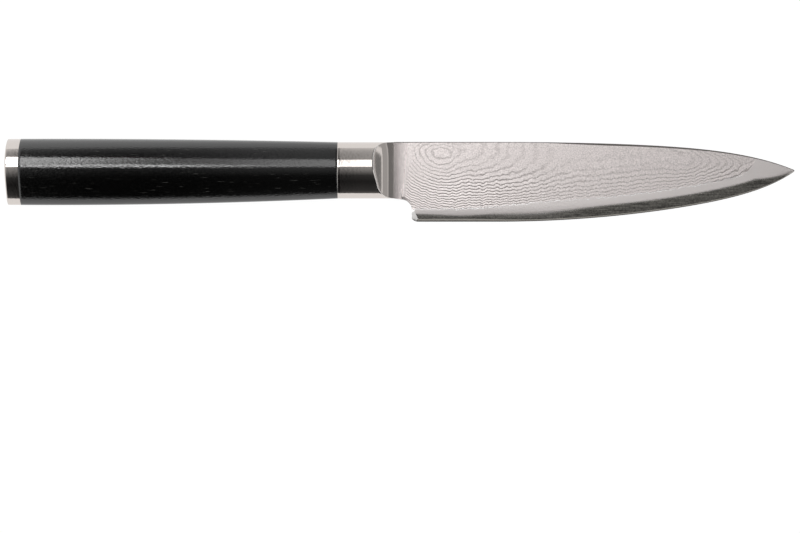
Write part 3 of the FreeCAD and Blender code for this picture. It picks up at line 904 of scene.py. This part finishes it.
# Roughness of blasted steel, of the satin neck and the honed band, and its range on the polish and the wood.
BLASTED_ROUGHNESS = 0.33
SATIN_ROUGHNESS = 0.14
HONED_ROUGHNESS = 0.12
POLISH_ROUGHNESS = (0.05, 0.09)
WOOD_ROUGHNESS = (0.09, 0.17)
# Where most of a noise lies, and the part of it that is an open pore.
NOISE_SPREAD = (0.3, 0.7)
PORE_SPREAD = (0.66, 0.78)
# How far the pits fray a line, in sheets, and the part of a sheet's swing that is a line.
FRAY = 0.28
LINE_SWING = (0.2, 1.0)
# How dark the pits are, from where the etch is weak to where it is strong.
PIT_TONES = ((0.3, 1.1), (0.5, 0.12))
# Millimetres from the core in which the bright iron fades, and the noise that breaks it up.
IRON_FADE = (0.10, 0.24)
IRON_BREAKS = (0.35, 0.6)
# Strength of the relief on the blasted faces and on the satin neck.
TOOTH = (0.35, 0.05)
# How the ground lines and the pits together dim and brighten the honed band.
HONED_SPECKS = ((0.75, 1.25), (0.4, 1.6))


def new_material(name):
    """A node material with its Principled shader and object coordinates."""
    material = bpy.data.materials.new(name)
    material.use_nodes = True
    tree = material.node_tree
    shader = tree.nodes["Principled BSDF"]
    coords = add_node(tree, "ShaderNodeTexCoord", out="Object")
    return material, tree, shader, coords


def etched_cladding(finish):
    """Layered cladding steel, blasted and acid etched: a dull silver ground with fine dark contour lines."""
    material, tree, shader, coords = new_material("etched_layered_steel")
    sheet, seam, etch, satin = (add_node(tree, "ShaderNodeAttribute", out="Fac", attribute_name=name)
                                for name in ("sheet", "seam", "etch", "satin"))
    # The pits of the grit also fray the lines.
    grit = speckled(tree, coords, GRIT_SIZE)
    fray = reckoned(tree, "MULTIPLY_ADD", grit, FRAY, sheet)
    turn = reckoned(tree, "MULTIPLY", fray, 2 * math.pi)
    swing = reckoned(tree, "COSINE", turn)
    line = ranged(tree, swing, LINE_SWING, interpolation_type="SMOOTHSTEP")
    line = reckoned(tree, "MULTIPLY", line, etch)
    # The pits are shallow where the acid bit deepest.
    pitted = ranged(tree, etch, *PIT_TONES)
    pits = ranged(tree, grit, NOISE_SPREAD, (0.0, pitted))
    tone = reckoned(tree, "ADD", line, pits)
    # The last sheet is pure iron and stays bright beside the core.
    beside = ranged(tree, seam, IRON_FADE, (1.0, 0.0))
    broken = ranged(tree, grit, IRON_BREAKS)
    iron = reckoned(tree, "MULTIPLY", beside, broken)
    paint = finish.bright_sheet[:]
    for part, cover in ((tone, finish.dark_sheet), (satin, finish.neck), (iron, finish.seam)):
        paint = mixed(tree, part, paint, cover[:])
    rough = ranged(tree, satin, to=(BLASTED_ROUGHNESS, SATIN_ROUGHNESS))
    height = reckoned(tree, "MULTIPLY_ADD", line, -1.0, grit)
    tooth = ranged(tree, satin, to=TOOTH)
    bump = bumped(tree, height, ETCH_DEPTH, strength=tooth)
    wire(tree, shader, {"Base Color": paint, "Metallic": 1.0, "Roughness": rough, "Normal": bump})
    return material


def ground_core(finish):
    """Hard core steel: fine ground like the cladding, with a band above the edge honed smooth and painted
    dark as shade.
    """
    material, tree, shader, coords = new_material("fine_ground_core_steel")
    hone = add_node(tree, "ShaderNodeAttribute", out="Fac", attribute_name="hone")
    grit = speckled(tree, coords, GRIT_SIZE)
    stretch = add_node(tree, "ShaderNodeMapping", {"Vector": coords, "Scale": (0.05, 1.0, 1.0)})
    lines = speckled(tree, stretch, GRIND_SIZE)
    height = reckoned(tree, "ADD", lines, grit)
    speck = ranged(tree, height, *HONED_SPECKS)
    # The honed band's darker colour is painted shade.
    dark = mixed(tree, 1.0, finish.honed[:], speck, "MULTIPLY")
    paint = mixed(tree, hone, finish.core[:], dark)
    rough = ranged(tree, hone, to=(BLASTED_ROUGHNESS, HONED_ROUGHNESS))
    bump = bumped(tree, height, GRIND_DEPTH, strength=0.3)
    wire(tree, shader, {"Base Color": paint, "Metallic": 1.0, "Roughness": rough, "Normal": bump})
    return material


def polished_steel(finish):
    """Stainless steel off a polishing wheel: clear reflections, with a faint orange-peel waviness."""
    material, tree, shader, coords = new_material("polished_stainless_steel")
    peel = speckled(tree, coords, PEEL_SIZE)
    haze = speckled(tree, coords, HAZE_SIZE, detail=3.0)
    rough = ranged(tree, haze, NOISE_SPREAD, POLISH_ROUGHNESS)
    bump = bumped(tree, peel, PEEL_DEPTH, strength=0.25)
    wire(tree, shader, {"Base Color": finish.bolster[:], "Metallic": 1.0, "Roughness": rough, "Normal": bump})
    return material


def resin_wood(finish):
    """Black wood filled with resin and buffed: near-black, glossy, with short open pores along the grip."""
    material, tree, shader, coords = new_material("black_resin_wood")
    along = add_node(tree, "ShaderNodeMapping", {"Vector": coords, "Scale": (0.4, 1.0, 1.0)})
    fibre = speckled(tree, along, FIBRE_SIZE, detail=1.0)
    # Pores are scattered dashes about 3 mm long.
    drawn = add_node(tree, "ShaderNodeMapping", {"Vector": coords, "Scale": (0.12, 1.0, 1.0)})
    pore = speckled(tree, drawn, PORE_SIZE, detail=1.0)
    pore = ranged(tree, pore, PORE_SPREAD, interpolation_type="SMOOTHSTEP")
    paint = mixed(tree, pore, finish.wood[:], finish.grain[:])
    rough = ranged(tree, fibre, NOISE_SPREAD, WOOD_ROUGHNESS)
    bump = bumped(tree, fibre, FIBRE_DEPTH, strength=1.0)
    wire(tree, shader, {"Base Color": paint, "Roughness": rough, "Normal": bump, "IOR": 1.54,
                        "Specular IOR Level": 0.85})
    return material


def worked_finish(name, tone, roughness, grain, metallic=1.0):
    """A plain worked surface whose dullness varies a little, from ground edges and mill scale to glue."""
    material, tree, shader, coords = new_material(name)
    cloud = speckled(tree, coords, grain * MM, detail=3.0)
    rough = ranged(tree, cloud, to=(roughness - WORK_SPREAD, roughness + WORK_SPREAD))
    bump = bumped(tree, cloud, WORK_DEPTH, strength=0.2)
    wire(tree, shader, {"Base Color": tone[:], "Metallic": metallic, "Roughness": rough, "Normal": bump})
    return material


def belt_ground_spine_painted_shade(finish):
    """The blade's spine: duller than its faces as the belt left it, and darker with painted shade."""
    return worked_finish("belt_ground_spine_painted_shade", finish.spine, roughness=0.45, grain=0.5)


# Pieces

class KNIFE_OT_core(bpy.types.Operator):
    """Make the hard core with its bare edge zone and cutting bevels"""

    bl_idname = "knife.core"
    bl_label = "Blade core"

    # Places of the materials in the core's list.
    GROUND, BEVEL, SPINE, HEEL, EDGE = range(5)
    # Dips of the honed band with its painted shade: depth, place from the heel and half width, all in mm.
    DEEP_DIP = (1.0, 33, 11)
    SHALLOW_DIP = (0.4, 13, 7)
    # Half width of the honed band's upper rim, and how much wider it gets where the band dips.
    HONE_BLUR = 0.45
    DIP_BLUR = 0.5
    # The cutting bevel takes at most this share of the bare core, and a facet shows from this depth in mm.
    MOST_BEVEL_SHARE = 0.9
    LEAST_FACET = 0.002
    # A column's bare core counts as at least this high, in mm.
    LEAST_SPAN = 1e-9

    def execute(self, context):
        blade = sizes()[1]
        finish = context.scene.knife.finish
        plan = blade_plan(blade)
        line = plan.shoulder + (plan.foot - plan.shoulder) * plan.core_share[:, None]
        span = np.maximum(np.linalg.norm(plan.foot - line, axis=1), self.LEAST_SPAN)
        sharpened = np.arange(len(line)) >= plan.split
        tall = np.where(sharpened, bevel_height(blade, plan.foot[:, 0]), 0.0)
        tall[plan.corner:plan.split] = blade.corner_line
        bevel = np.minimum(tall / span, self.MOST_BEVEL_SHARE)
        rings, hone = [], []
        for i in range(len(line)):
            shares = [*np.linspace(0, 1 - bevel[i], CORE_ROWS), 1 - blade.edge_shade_share * bevel[i], 1.0]
            points = line[i] + (plan.foot[i] - line[i]) * np.array(shares)[:, None]
            right = np.column_stack([points, ground(blade, points[:, 0], points[:, 1])])
            crown = np.array([[*plan.top[i], plan.inner[i]]])
            rings.append(np.concatenate([crown, right, right[::-1] * (1, 1, -1), crown * (1, 1, -1)]))
            band = self.honed(blade, points)
            hone.append(np.concatenate([[0], band, band[::-1], [0]]))
        mesh = solid_mesh("blade_core_ground", *tube(rings), {"hone": hone})
        obj = solid_object(mesh, BLADE_CREASE, self.zones(blade, plan, rings))
        dress(obj, "core_steel", [
            ground_core(finish),
            worked_finish("honed_bevel", finish.bevel, roughness=0.85, grain=0.4),
            belt_ground_spine_painted_shade(finish),
            # The heel's facets take the near-white rim colour as a painted highlight.
            worked_finish("satin_heel_painted_highlight", finish.rim, roughness=0.33, grain=0.4),
            # The dark line at the very edge is painted shade.
            worked_finish("edge_line_painted_shade", finish.painted_edge_shade, roughness=0.35, grain=0.4)], "blade_core")
        return {"FINISHED"}

    def honed(self, blade, points):
        """1 in the honed band above the edge, which is painted dark as shade, 0 above it."""
        x, y = points[:, 0], points[:, 1]
        deep, shallow = (depth * np.exp(-((x - blade.heel - place) / width) ** 2)
                         for depth, place, width in (self.DEEP_DIP, self.SHALLOW_DIP))
        top = blade.honed_and_shaded_share * bare_height(blade, x) - deep - shallow
        top = top * np.clip((blade.tip - x) / blade.bare_tip, 0, 1)
        blur = self.HONE_BLUR + self.DIP_BLUR * deep
        return 1 - smooth(y - edge_line(blade, x), top - blur, top + blur)

    def zones(self, blade, plan, rings):
        """The material of each face."""
        count, rows = len(rings[0]), CORE_ROWS
        zones = np.full((len(rings) - 1, count), self.GROUND)
        bare = np.maximum(plan.core_share[:-1], plan.core_share[1:]) < LEAST_CLAD_SHARE
        # Spine faces get the spine's finish with its painted shade.
        zones[np.ix_(bare, [0, count - 2])] = self.SPINE
        zones[:, -1] = self.SPINE
        # The heel's outline and facets get the heel finish with its painted highlight.
        zones[:plan.split, rows + 2] = self.HEEL
        zones[plan.split:, [rows, rows + 4]] = self.BEVEL
        # Faces along the very edge and round the heel's corner get the painted edge shade.
        zones[plan.split:, [rows + 1, rows + 3]] = self.EDGE
        zones[plan.corner:plan.split, rows:rows + 5] = self.EDGE
        middle = np.array([(a + c) / 2 for a, c in zip(rings, rings[1:])])
        middle = (middle + np.roll(middle, -1, axis=1)) / 2
        facet = facet_drop(blade, middle[..., 0], middle[..., 1]) > self.LEAST_FACET
        zones[facet & (zones == self.GROUND)] = self.HEEL
        return np.append(zones.ravel(), [self.HEEL, self.HEEL])


class KNIFE_OT_cladding(bpy.types.Operator):
    """Make the etched cladding of both sides"""

    bl_idname = "knife.cladding"
    bl_label = "Cladding"

    # Seed of the waves, to which each side adds its own sign.
    SEED = 3.0

    def execute(self, context):
        blade = sizes()[1]
        knife = context.scene.knife
        pattern = knife.blade
        plan = blade_plan(blade)
        finish = etched_cladding(knife.finish)
        spine = belt_ground_spine_painted_shade(knife.finish)
        tree = etched_tree()
        clad = plan.core_share > LEAST_CLAD_SHARE
        columns = len(clad) - clad[::-1].argmax() + 1
        for side, sign in SIDES.items():
            mesh = self.sheet_pack(blade, plan, columns, sign, f"cladding_{side}")
            obj = link_object(mesh.name, mesh)
            run_nodes(obj, tree, {
                "Wave size": pattern.wave_size, "Wave depth": pattern.wave_depth,
                "Ripple size": pattern.ripple_size, "Ripple depth": pattern.ripple_depth,
                "Relief": pattern.relief, "Seed": self.SEED + sign, "Finish": finish})
            zones = np.zeros(len(obj.data.polygons), dtype=np.int32)
            obj.data.attributes["zone"].data.foreach_get("value", zones)
            obj.data.materials.append(spine)
            obj.data.polygons.foreach_set("material_index", zones)
            soften(obj.data, BLADE_CREASE)
            dress(obj, "bright_cladding", [], *(f"{side}_layer_{i + 1:02d}" for i in range(blade.sheets)))
        return {"FINISHED"}

    @staticmethod
    def sheet_pack(blade, plan, columns, sign, name):
        """The mesh of one side's cladding, with what the pattern needs to know at each point."""
        rings, values = [], {"ground": [], "open": [], "etch": [], "satin": [], "seam": []}
        for i in range(columns):
            top, shoulder = plan.top[i], plan.shoulder[i]
            foot = shoulder + (plan.foot[i] - shoulder) * plan.core_share[i]
            points = shoulder + (foot - shoulder) * np.linspace(0, 1, SHEET_ROWS)[:, None]
            x, y = points[:, 0], points[:, 1]
            crown = np.array([[*top, plan.inner[i]], [*top, spine_half(blade, top[0]) - plan.ease[i]]])
            face = np.column_stack([points, ground(blade, x, y)])
            rings.append(np.concatenate([crown, face]) * (1, 1, sign))
            etch = line_strength(blade, x, y)
            # The rims of the pack keep their place.
            free = etch.copy()
            free[[0, 1, -2, -1]] = 0
            found = {"ground": sheet_number(blade, x, y), "open": free, "etch": etch,
                     "satin": neck_polish(blade, x, y), "seam": np.abs(y - core_line(blade, x))}
            for key, row in found.items():
                values[key].append(np.concatenate([row[:1], row[:1], row]))
        mesh = solid_mesh(name, *tube(rings), values)
        # Zone 1 is the spine, with both ends of the pack, in the spine's finish with its painted shade.
        zones = np.zeros((columns - 1, SHEET_ROWS + 2), dtype=np.int32)
        zones[:, :2] = 1
        layer = mesh.attributes.new("zone", "INT", "FACE")
        layer.data.foreach_set("value", np.append(zones.ravel(), [1, 1]).astype(np.int32))
        clean(mesh)
        return mesh


class KNIFE_OT_bolster(bpy.types.Operator):
    """Make the collar with its two hollows"""

    bl_idname = "knife.bolster"
    bl_label = "Bolster"

    # How far below the axis the rim lies furthest back, in mm. It is also the half width of that stretch.
    SLANT_DROP = 3.2
    # The shoulder's fall towards the spine comes in between these shares of the fillet's run.
    FALL_SHARES = (0.3, 1.6)
    # Share of the hollow's run that its rim may take, and how far past its radius the hollow is searched.
    RIM_SHARE = 1 / 3
    SEARCH_SHARE = 1.2

    def execute(self, context):
        handle, blade = sizes()
        finish = context.scene.knife.finish
        rings, rim = self.collar(handle, blade)
        # Zone 1 is the buffed rim, whose near-white colour is a painted highlight.
        zones = np.zeros((len(rings) - 1, len(rings[0])), dtype=int)
        zones[list(rim)] = 1
        mesh = solid_mesh("bolster_collar", *tube(rings))
        obj = solid_object(mesh, STEEL_CREASE, np.append(zones.ravel(), [0, 0]))
        # The rim's near-white colour is a painted highlight.
        buffed = worked_finish("buffed_rim_painted_highlight", finish.rim, roughness=0.5, grain=0.5)
        dress(obj, "bolster_steel", [polished_steel(finish), buffed], "bolster")
        return {"FINISHED"}

    def collar(self, handle, blade):
        """Rings of the collar from the grip over the hollows' rims to the weld, and which make the rim."""
        skin = section(handle, handle.joint_front)
        y, z = skin[:, 1], skin[:, 2]
        side = np.where(z >= 0, 1.0, -1.0)
        # How much the blade's face leans for each millimetre of height.
        lean = ground(blade, handle.weld, 0.0) - ground(blade, handle.weld, -1.0)
        face = np.minimum(blade.spine_thickness / 2 - lean * (blade.spine_rise - y), np.abs(z))
        depth = np.abs(z) - face
        fillet, wheel = handle.shoulder_fillet, handle.shoulder_radius
        knee = fillet * math.sin(handle.shoulder_angle)
        fall = np.clip(y - handle.shoulder_level, 0, None) ** 2 / (2 * handle.shoulder_cross)
        fall_from, fall_to = (part * knee for part in self.FALL_SHARES)

        def floor_rise(run):
            """Height of the hollow's floor over the blade's face, at a distance from the weld."""
            bend = fillet - np.sqrt(fillet ** 2 - np.clip(run, 0, knee) ** 2)
            far = wheel * math.sin(handle.shoulder_angle) + np.clip(run - knee, 0, None)
            climb = wheel * math.cos(handle.shoulder_angle) - np.sqrt(wheel ** 2 - far ** 2)
            return bend + climb - fall * smooth(run, fall_from, fall_to)

        # The rim lies where the wheel stopped, or where the floor runs out through the skin before that.
        runs = np.linspace(0, self.SEARCH_SHARE * handle.hollow_radius, HOLLOW_STEPS)
        climbs = np.array([floor_rise(run) for run in runs])
        out_at = np.array([np.interp(deep, column, runs) for deep, column in zip(depth, climbs.T)])
        back = np.minimum(np.sqrt(depth * (2 * handle.hollow_radius - depth)), out_at)
        slant = handle.rim_slant * np.exp(-((y + self.SLANT_DROP) / self.SLANT_DROP) ** 2)
        back = back - np.minimum(handle.rim_inset + slant, back * self.RIM_SHARE)
        gap = depth - floor_rise(back)
        ease = np.minimum(handle.rim_ease, back * self.RIM_SHARE)
        inside = back - handle.wall_width * gap / gap.max() - ease / 2
        out = skin[:, 1:] / np.linalg.norm(skin[:, 1:], axis=1)[:, None]
        rings = [skin - handle.joint_ease * np.column_stack([np.zeros(len(y)), out])]
        start, end = handle.joint_front + handle.joint_run, handle.weld - back - ease
        for way in np.linspace(0, 1, SKIN_RINGS):
            rings.append(np.column_stack([start + (end - start) * way, y, z]))
        hollow = []
        for run in np.linspace(inside, 0, HOLLOW_RINGS):
            hollow.append(np.column_stack([handle.weld - run, y, side * (face + floor_rise(run))]))
        edge = rings[-1]
        corner = np.column_stack([handle.weld - back, y, z])
        rim = range(len(rings) - 1, len(rings) + RIM_RINGS)
        for t in np.linspace(0, 1, RIM_RINGS + 2)[1:-1]:
            rings.append(edge * (1 - t) ** 2 + 2 * corner * t * (1 - t) + hollow[0] * t ** 2)
        return rings + hollow, rim


class KNIFE_OT_grip(bpy.types.Operator):
    """Make the wood grip"""

    bl_idname = "knife.grip"
    bl_label = "Grip"

    def execute(self, context):
        handle = sizes()[0]
        finish = resin_wood(context.scene.knife.finish)
        obj = lofted("grip_wood", handle, handle.joint_back, handle.joint_front, handle.rings, finish)
        dress(obj, "resin_wood", [], "grip")
        return {"FINISHED"}


class KNIFE_OT_end_cap(bpy.types.Operator):
    """Make the steel end cap with its bare butt face"""

    bl_idname = "knife.end_cap"
    bl_label = "End cap"

    def execute(self, context):
        handle = sizes()[0]
        rings, ease = [], handle.butt_ease
        for turn in np.linspace(0, math.pi / 2, BUTT_RINGS):
            rings.append(section(handle, ease * (1 - math.cos(turn)), ease * (1 - math.sin(turn))))
        for x in np.linspace(ease, handle.joint_back - handle.joint_ease, CAP_RINGS)[1:]:
            rings.append(section(handle, x))
        rings.append(section(handle, handle.joint_back))
        obj = solid_object(solid_mesh("end_cap_steel", *tube(rings)), STEEL_CREASE)
        dress(obj, "cap_steel", [polished_steel(context.scene.knife.finish)], "end_cap")
        return {"FINISHED"}


class KNIFE_OT_inside(bpy.types.Operator):
    """Finish the tang, its weld and the glue, which stay inside the grip"""

    bl_idname = "knife.inside"
    bl_label = "Inside"

    def execute(self, context):
        finish = context.scene.knife.finish
        for node, material in {
            "tang": worked_finish("mill_scale_steel", finish.tang, roughness=0.5, grain=1.5),
            "tang_weld": worked_finish("weld_metal", finish.tang, roughness=0.45, grain=0.8),
            "adhesive_bed": worked_finish("cured_epoxy", finish.glue, roughness=0.35, grain=2.0,
                                          metallic=0.0),
        }.items():
            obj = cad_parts[node]
            for i in range(max(1, len(obj.material_slots))):
                if len(obj.material_slots) <= i:
                    obj.data.materials.append(material)
                obj.material_slots[i].material = material
        return {"FINISHED"}


# Stage

class KNIFE_OT_stage(bpy.types.Operator):
    """Set the floor, the light and the camera"""

    bl_idname = "knife.stage"
    bl_label = "Stage"

    # Brightness of the room at degrees from straight up towards the spine side.
    ROOM = {-180: 0.95, -91: 0.95, -89: 0.13, -80: 0.05, -62: 0.02, -50: 0.055, -36: 0.14, -22: 0.25,
            -8: 0.34, 40: 0.4, 50: 0.45, 62: 0.47, 75: 0.55, 88: 0.75, 91: 0.95, 180: 0.95}
    # Share of it that is left, at the same degrees, in the stretch that the grip mirrors.
    GRIP_SHADE = {-180: 0.07, -10: 0.07, -2: 0.6, 40: 0.6, 44: 0.1, 60: 0.1, 76: 0.4, 88: 0.45, 92: 1.0,
                  180: 1.0}
    # Beyond the point stands a grey wall between two bright strips. Places are the X part of a direction.
    WALL = {0.0: 0.0, 0.53: 0.0, 0.57: 0.6, 0.63: 0.6, 0.68: 0.46, 0.965: 0.46, 0.972: 0.95, 0.988: 0.95,
            0.993: 0.2, 1.0: 0.2}
    # Steps along the knife: two places of the same kind, and the levels at them. A white card stands beyond
    # the butt and another beyond the point, the ceiling is dimmer over the blade, and the shade has two ends.
    STEPS = {"butt card": (-0.24, -0.28, 0.0, 1.0), "point card": (0.28, 0.34, 0.0, 0.95),
             "blade dim": (0.02, 0.1, 1.0, 0.62), "shade front": (-0.02, -0.03, 0.0, 1.0),
             "shade back": (-0.13, -0.124, 0.0, 1.0)}
    # The card beyond the point lies on the edge side, and fades in between these degrees.
    LOW_CARD = (-10, -16)

    def execute(self, context):
        stage = context.scene.knife.stage
        self.floor(stage)
        self.surroundings(context, stage)
        self.softbox(stage)
        self.camera(context, stage)
        context.scene.view_settings.view_transform = "Standard"
        return {"FINISHED"}

    @staticmethod
    def floor(stage):
        """A white sheet under the knife: white to the camera and to the steel, and dimmed by the shadow."""
        mesh = bpy.data.meshes.new("floor")
        low, far = CAD_BOX[0][2], stage.floor_reach
        corners = [(-far, -far, low), (far, -far, low), (far, far, low), (-far, far, low)]
        mesh.from_pydata(corners, [], [(0, 1, 2, 3)])
        obj = link_object("floor", mesh)
        material = bpy.data.materials.new("white_paper")
        material.use_nodes = True
        tree = material.node_tree
        tree.nodes.clear()
        path = add_node(tree, "ShaderNodeLightPath", out=None)
        seen = path["Is Camera Ray"]
        for ray in ("Is Glossy Ray", "Is Transmission Ray"):
            seen = reckoned(tree, "MAXIMUM", seen, path[ray])
        glow = reckoned(tree, "MULTIPLY", seen, stage.paper_glow)
        lamp = add_node(tree, "ShaderNodeEmission", {"Color": stage.white[:], "Strength": glow})
        paper = add_node(tree, "ShaderNodeBsdfDiffuse", {"Color": stage.paper[:]})
        both = add_node(tree, "ShaderNodeAddShader", {0: lamp, 1: paper})
        add_node(tree, "ShaderNodeOutputMaterial", {"Surface": both}, out=None)
        mesh.materials.append(material)

    @staticmethod
    def painted(ramp, levels):
        """Sets a ramp's grey levels at places along the range that it stands for, and gives it back."""
        low, high = min(levels), max(levels)
        elements = ramp.node.color_ramp.elements
        while len(elements) < len(levels):
            elements.new(0.5)
        for element, (place, level) in zip(elements, levels.items()):
            element.position = (place - low) / (high - low)
            element.color = (level, level, level, 1)
        return ramp

    def surroundings(self, context, stage):
        """A room that is dark on the edge side, grey on the spine side and white to the camera."""
        world = bpy.data.worlds.new("studio")
        context.scene.world = world
        world.use_nodes = True
        tree = world.node_tree
        tree.nodes.clear()
        direction = add_node(tree, "ShaderNodeTexCoord", out="Generated")
        parts = add_node(tree, "ShaderNodeSeparateXYZ", {0: direction}, out=None)
        turn = reckoned(tree, "ARCTAN2", parts["Y"], parts["Z"])
        around = ranged(tree, turn, (-math.pi, math.pi))
        ceiling = self.painted(add_node(tree, "ShaderNodeValToRGB", {0: around}), self.ROOM)
        shade = self.painted(add_node(tree, "ShaderNodeValToRGB", {0: around}), self.GRIP_SHADE)
        wall = self.painted(add_node(tree, "ShaderNodeValToRGB", {0: parts["X"]}), self.WALL)
        step = {}
        for name, (start, end, before, after) in self.STEPS.items():
            step[name] = ranged(tree, parts["X"], (start, end), (before, after))
        # The cards and the wall beyond the ends.
        low_from, low_to = map(math.radians, self.LOW_CARD)
        low = ranged(tree, turn, (low_from, low_to))
        card = reckoned(tree, "MULTIPLY", low, step["point card"])
        ends = reckoned(tree, "MAXIMUM", wall, step["butt card"])
        ends = reckoned(tree, "MAXIMUM", ends, card)
        # The ceiling, with its darker stretches over the grip and the blade.
        over_grip = reckoned(tree, "MULTIPLY", step["shade front"], step["shade back"])
        tone = mixed(tree, over_grip, (1, 1, 1, 1), shade)
        for layer, blend in ((step["blade dim"], "MULTIPLY"), (ceiling, "MULTIPLY"), (ends, "LIGHTEN")):
            tone = mixed(tree, 1.0, tone, layer, blend)
        camera_ray = add_node(tree, "ShaderNodeLightPath", out="Is Camera Ray")
        tone = mixed(tree, camera_ray, tone, stage.white[:])
        sky = add_node(tree, "ShaderNodeBackground", {"Color": tone, "Strength": 1.0})
        add_node(tree, "ShaderNodeOutputWorld", {"Surface": sky}, out=None)

    @staticmethod
    def softbox(stage):
        """One long softbox over the spine side, dim over the grip, with a bulb and a glow at its butt end."""
        # Each lamp's name, radiance, lower and upper rim, butt and point end, and drop.
        for name, level, rims, ends, drop in (
                ("softbox", stage.softbox_light, (stage.softbox_from, stage.softbox_to),
                 (stage.softbox_split, stage.softbox_end), 0),
                ("grip_part", stage.grip_light, (stage.softbox_from, stage.softbox_to),
                 (stage.softbox_start, stage.softbox_split), 0),
                ("bulb", stage.bulb_light, (stage.bulb_from, stage.bulb_to),
                 (stage.bulb_start, stage.bulb_end), stage.bulb_drop),
                ("glow", stage.glow_light, (stage.glow_from, stage.softbox_to),
                 (stage.glow_start, stage.glow_end), stage.glow_drop)):
            height = stage.softbox_height - drop
            near, far = (height * math.tan(rim) for rim in rims)
            light = bpy.data.lights.new(name, "AREA")
            light.shape = "RECTANGLE"
            light.size = ends[1] - ends[0]
            light.size_y = far - near
            light.energy = level * math.pi * light.size * light.size_y
            lamp = link_object(name, light)
            lamp.location = (sum(ends) / 2, (near + far) / 2, height)

    @staticmethod
    def camera(context, stage):
        """The camera straight above, with the knife in the upper half of the picture."""
        lens = bpy.data.cameras.new("camera")
        lens.lens = lens.sensor_width * stage.camera_height / stage.view_width
        camera = link_object("camera", lens)
        camera.location = (datum() + np.array([stage.view_x, stage.view_y, stage.camera_height])).tolist()
        context.scene.camera = camera


class KNIFE_PT_panel(bpy.types.Panel):
    """Lists the knife's pieces and settings"""

    bl_idname = "KNIFE_PT_panel"
    bl_label = "Layered Paring Knife"
    bl_space_type = "VIEW_3D"
    bl_region_type = "UI"
    bl_category = "Knife"

    def draw(self, context):
        for operator in PIECES:
            self.layout.operator(operator.bl_idname)
        for group in own_settings(context.scene.knife):
            box = self.layout.box()
            settings = getattr(context.scene.knife, group.identifier)
            for prop in own_settings(settings):
                box.prop(settings, prop.identifier)


PIECES = (KNIFE_OT_core, KNIFE_OT_cladding, KNIFE_OT_bolster, KNIFE_OT_grip, KNIFE_OT_end_cap,
          KNIFE_OT_inside, KNIFE_OT_stage)
CLASSES = (HandleSizes, BladeSizes, FinishColours, StageSettings, KnifeSettings) + PIECES + (KNIFE_PT_panel,)


def register():
    for cls in CLASSES:
        bpy.utils.register_class(cls)
    bpy.types.Scene.knife = PointerProperty(type=KnifeSettings)


def unregister():
    del bpy.types.Scene.knife
    for cls in reversed(CLASSES):
        bpy.utils.unregister_class(cls)


def main():
    register()
    bpy.ops.knife.core()
    bpy.ops.knife.cladding()
    bpy.ops.knife.bolster()
    bpy.ops.knife.grip()
    bpy.ops.knife.end_cap()
    bpy.ops.knife.inside()
    bpy.ops.knife.stage()


if __name__ == "__main__":
    main()
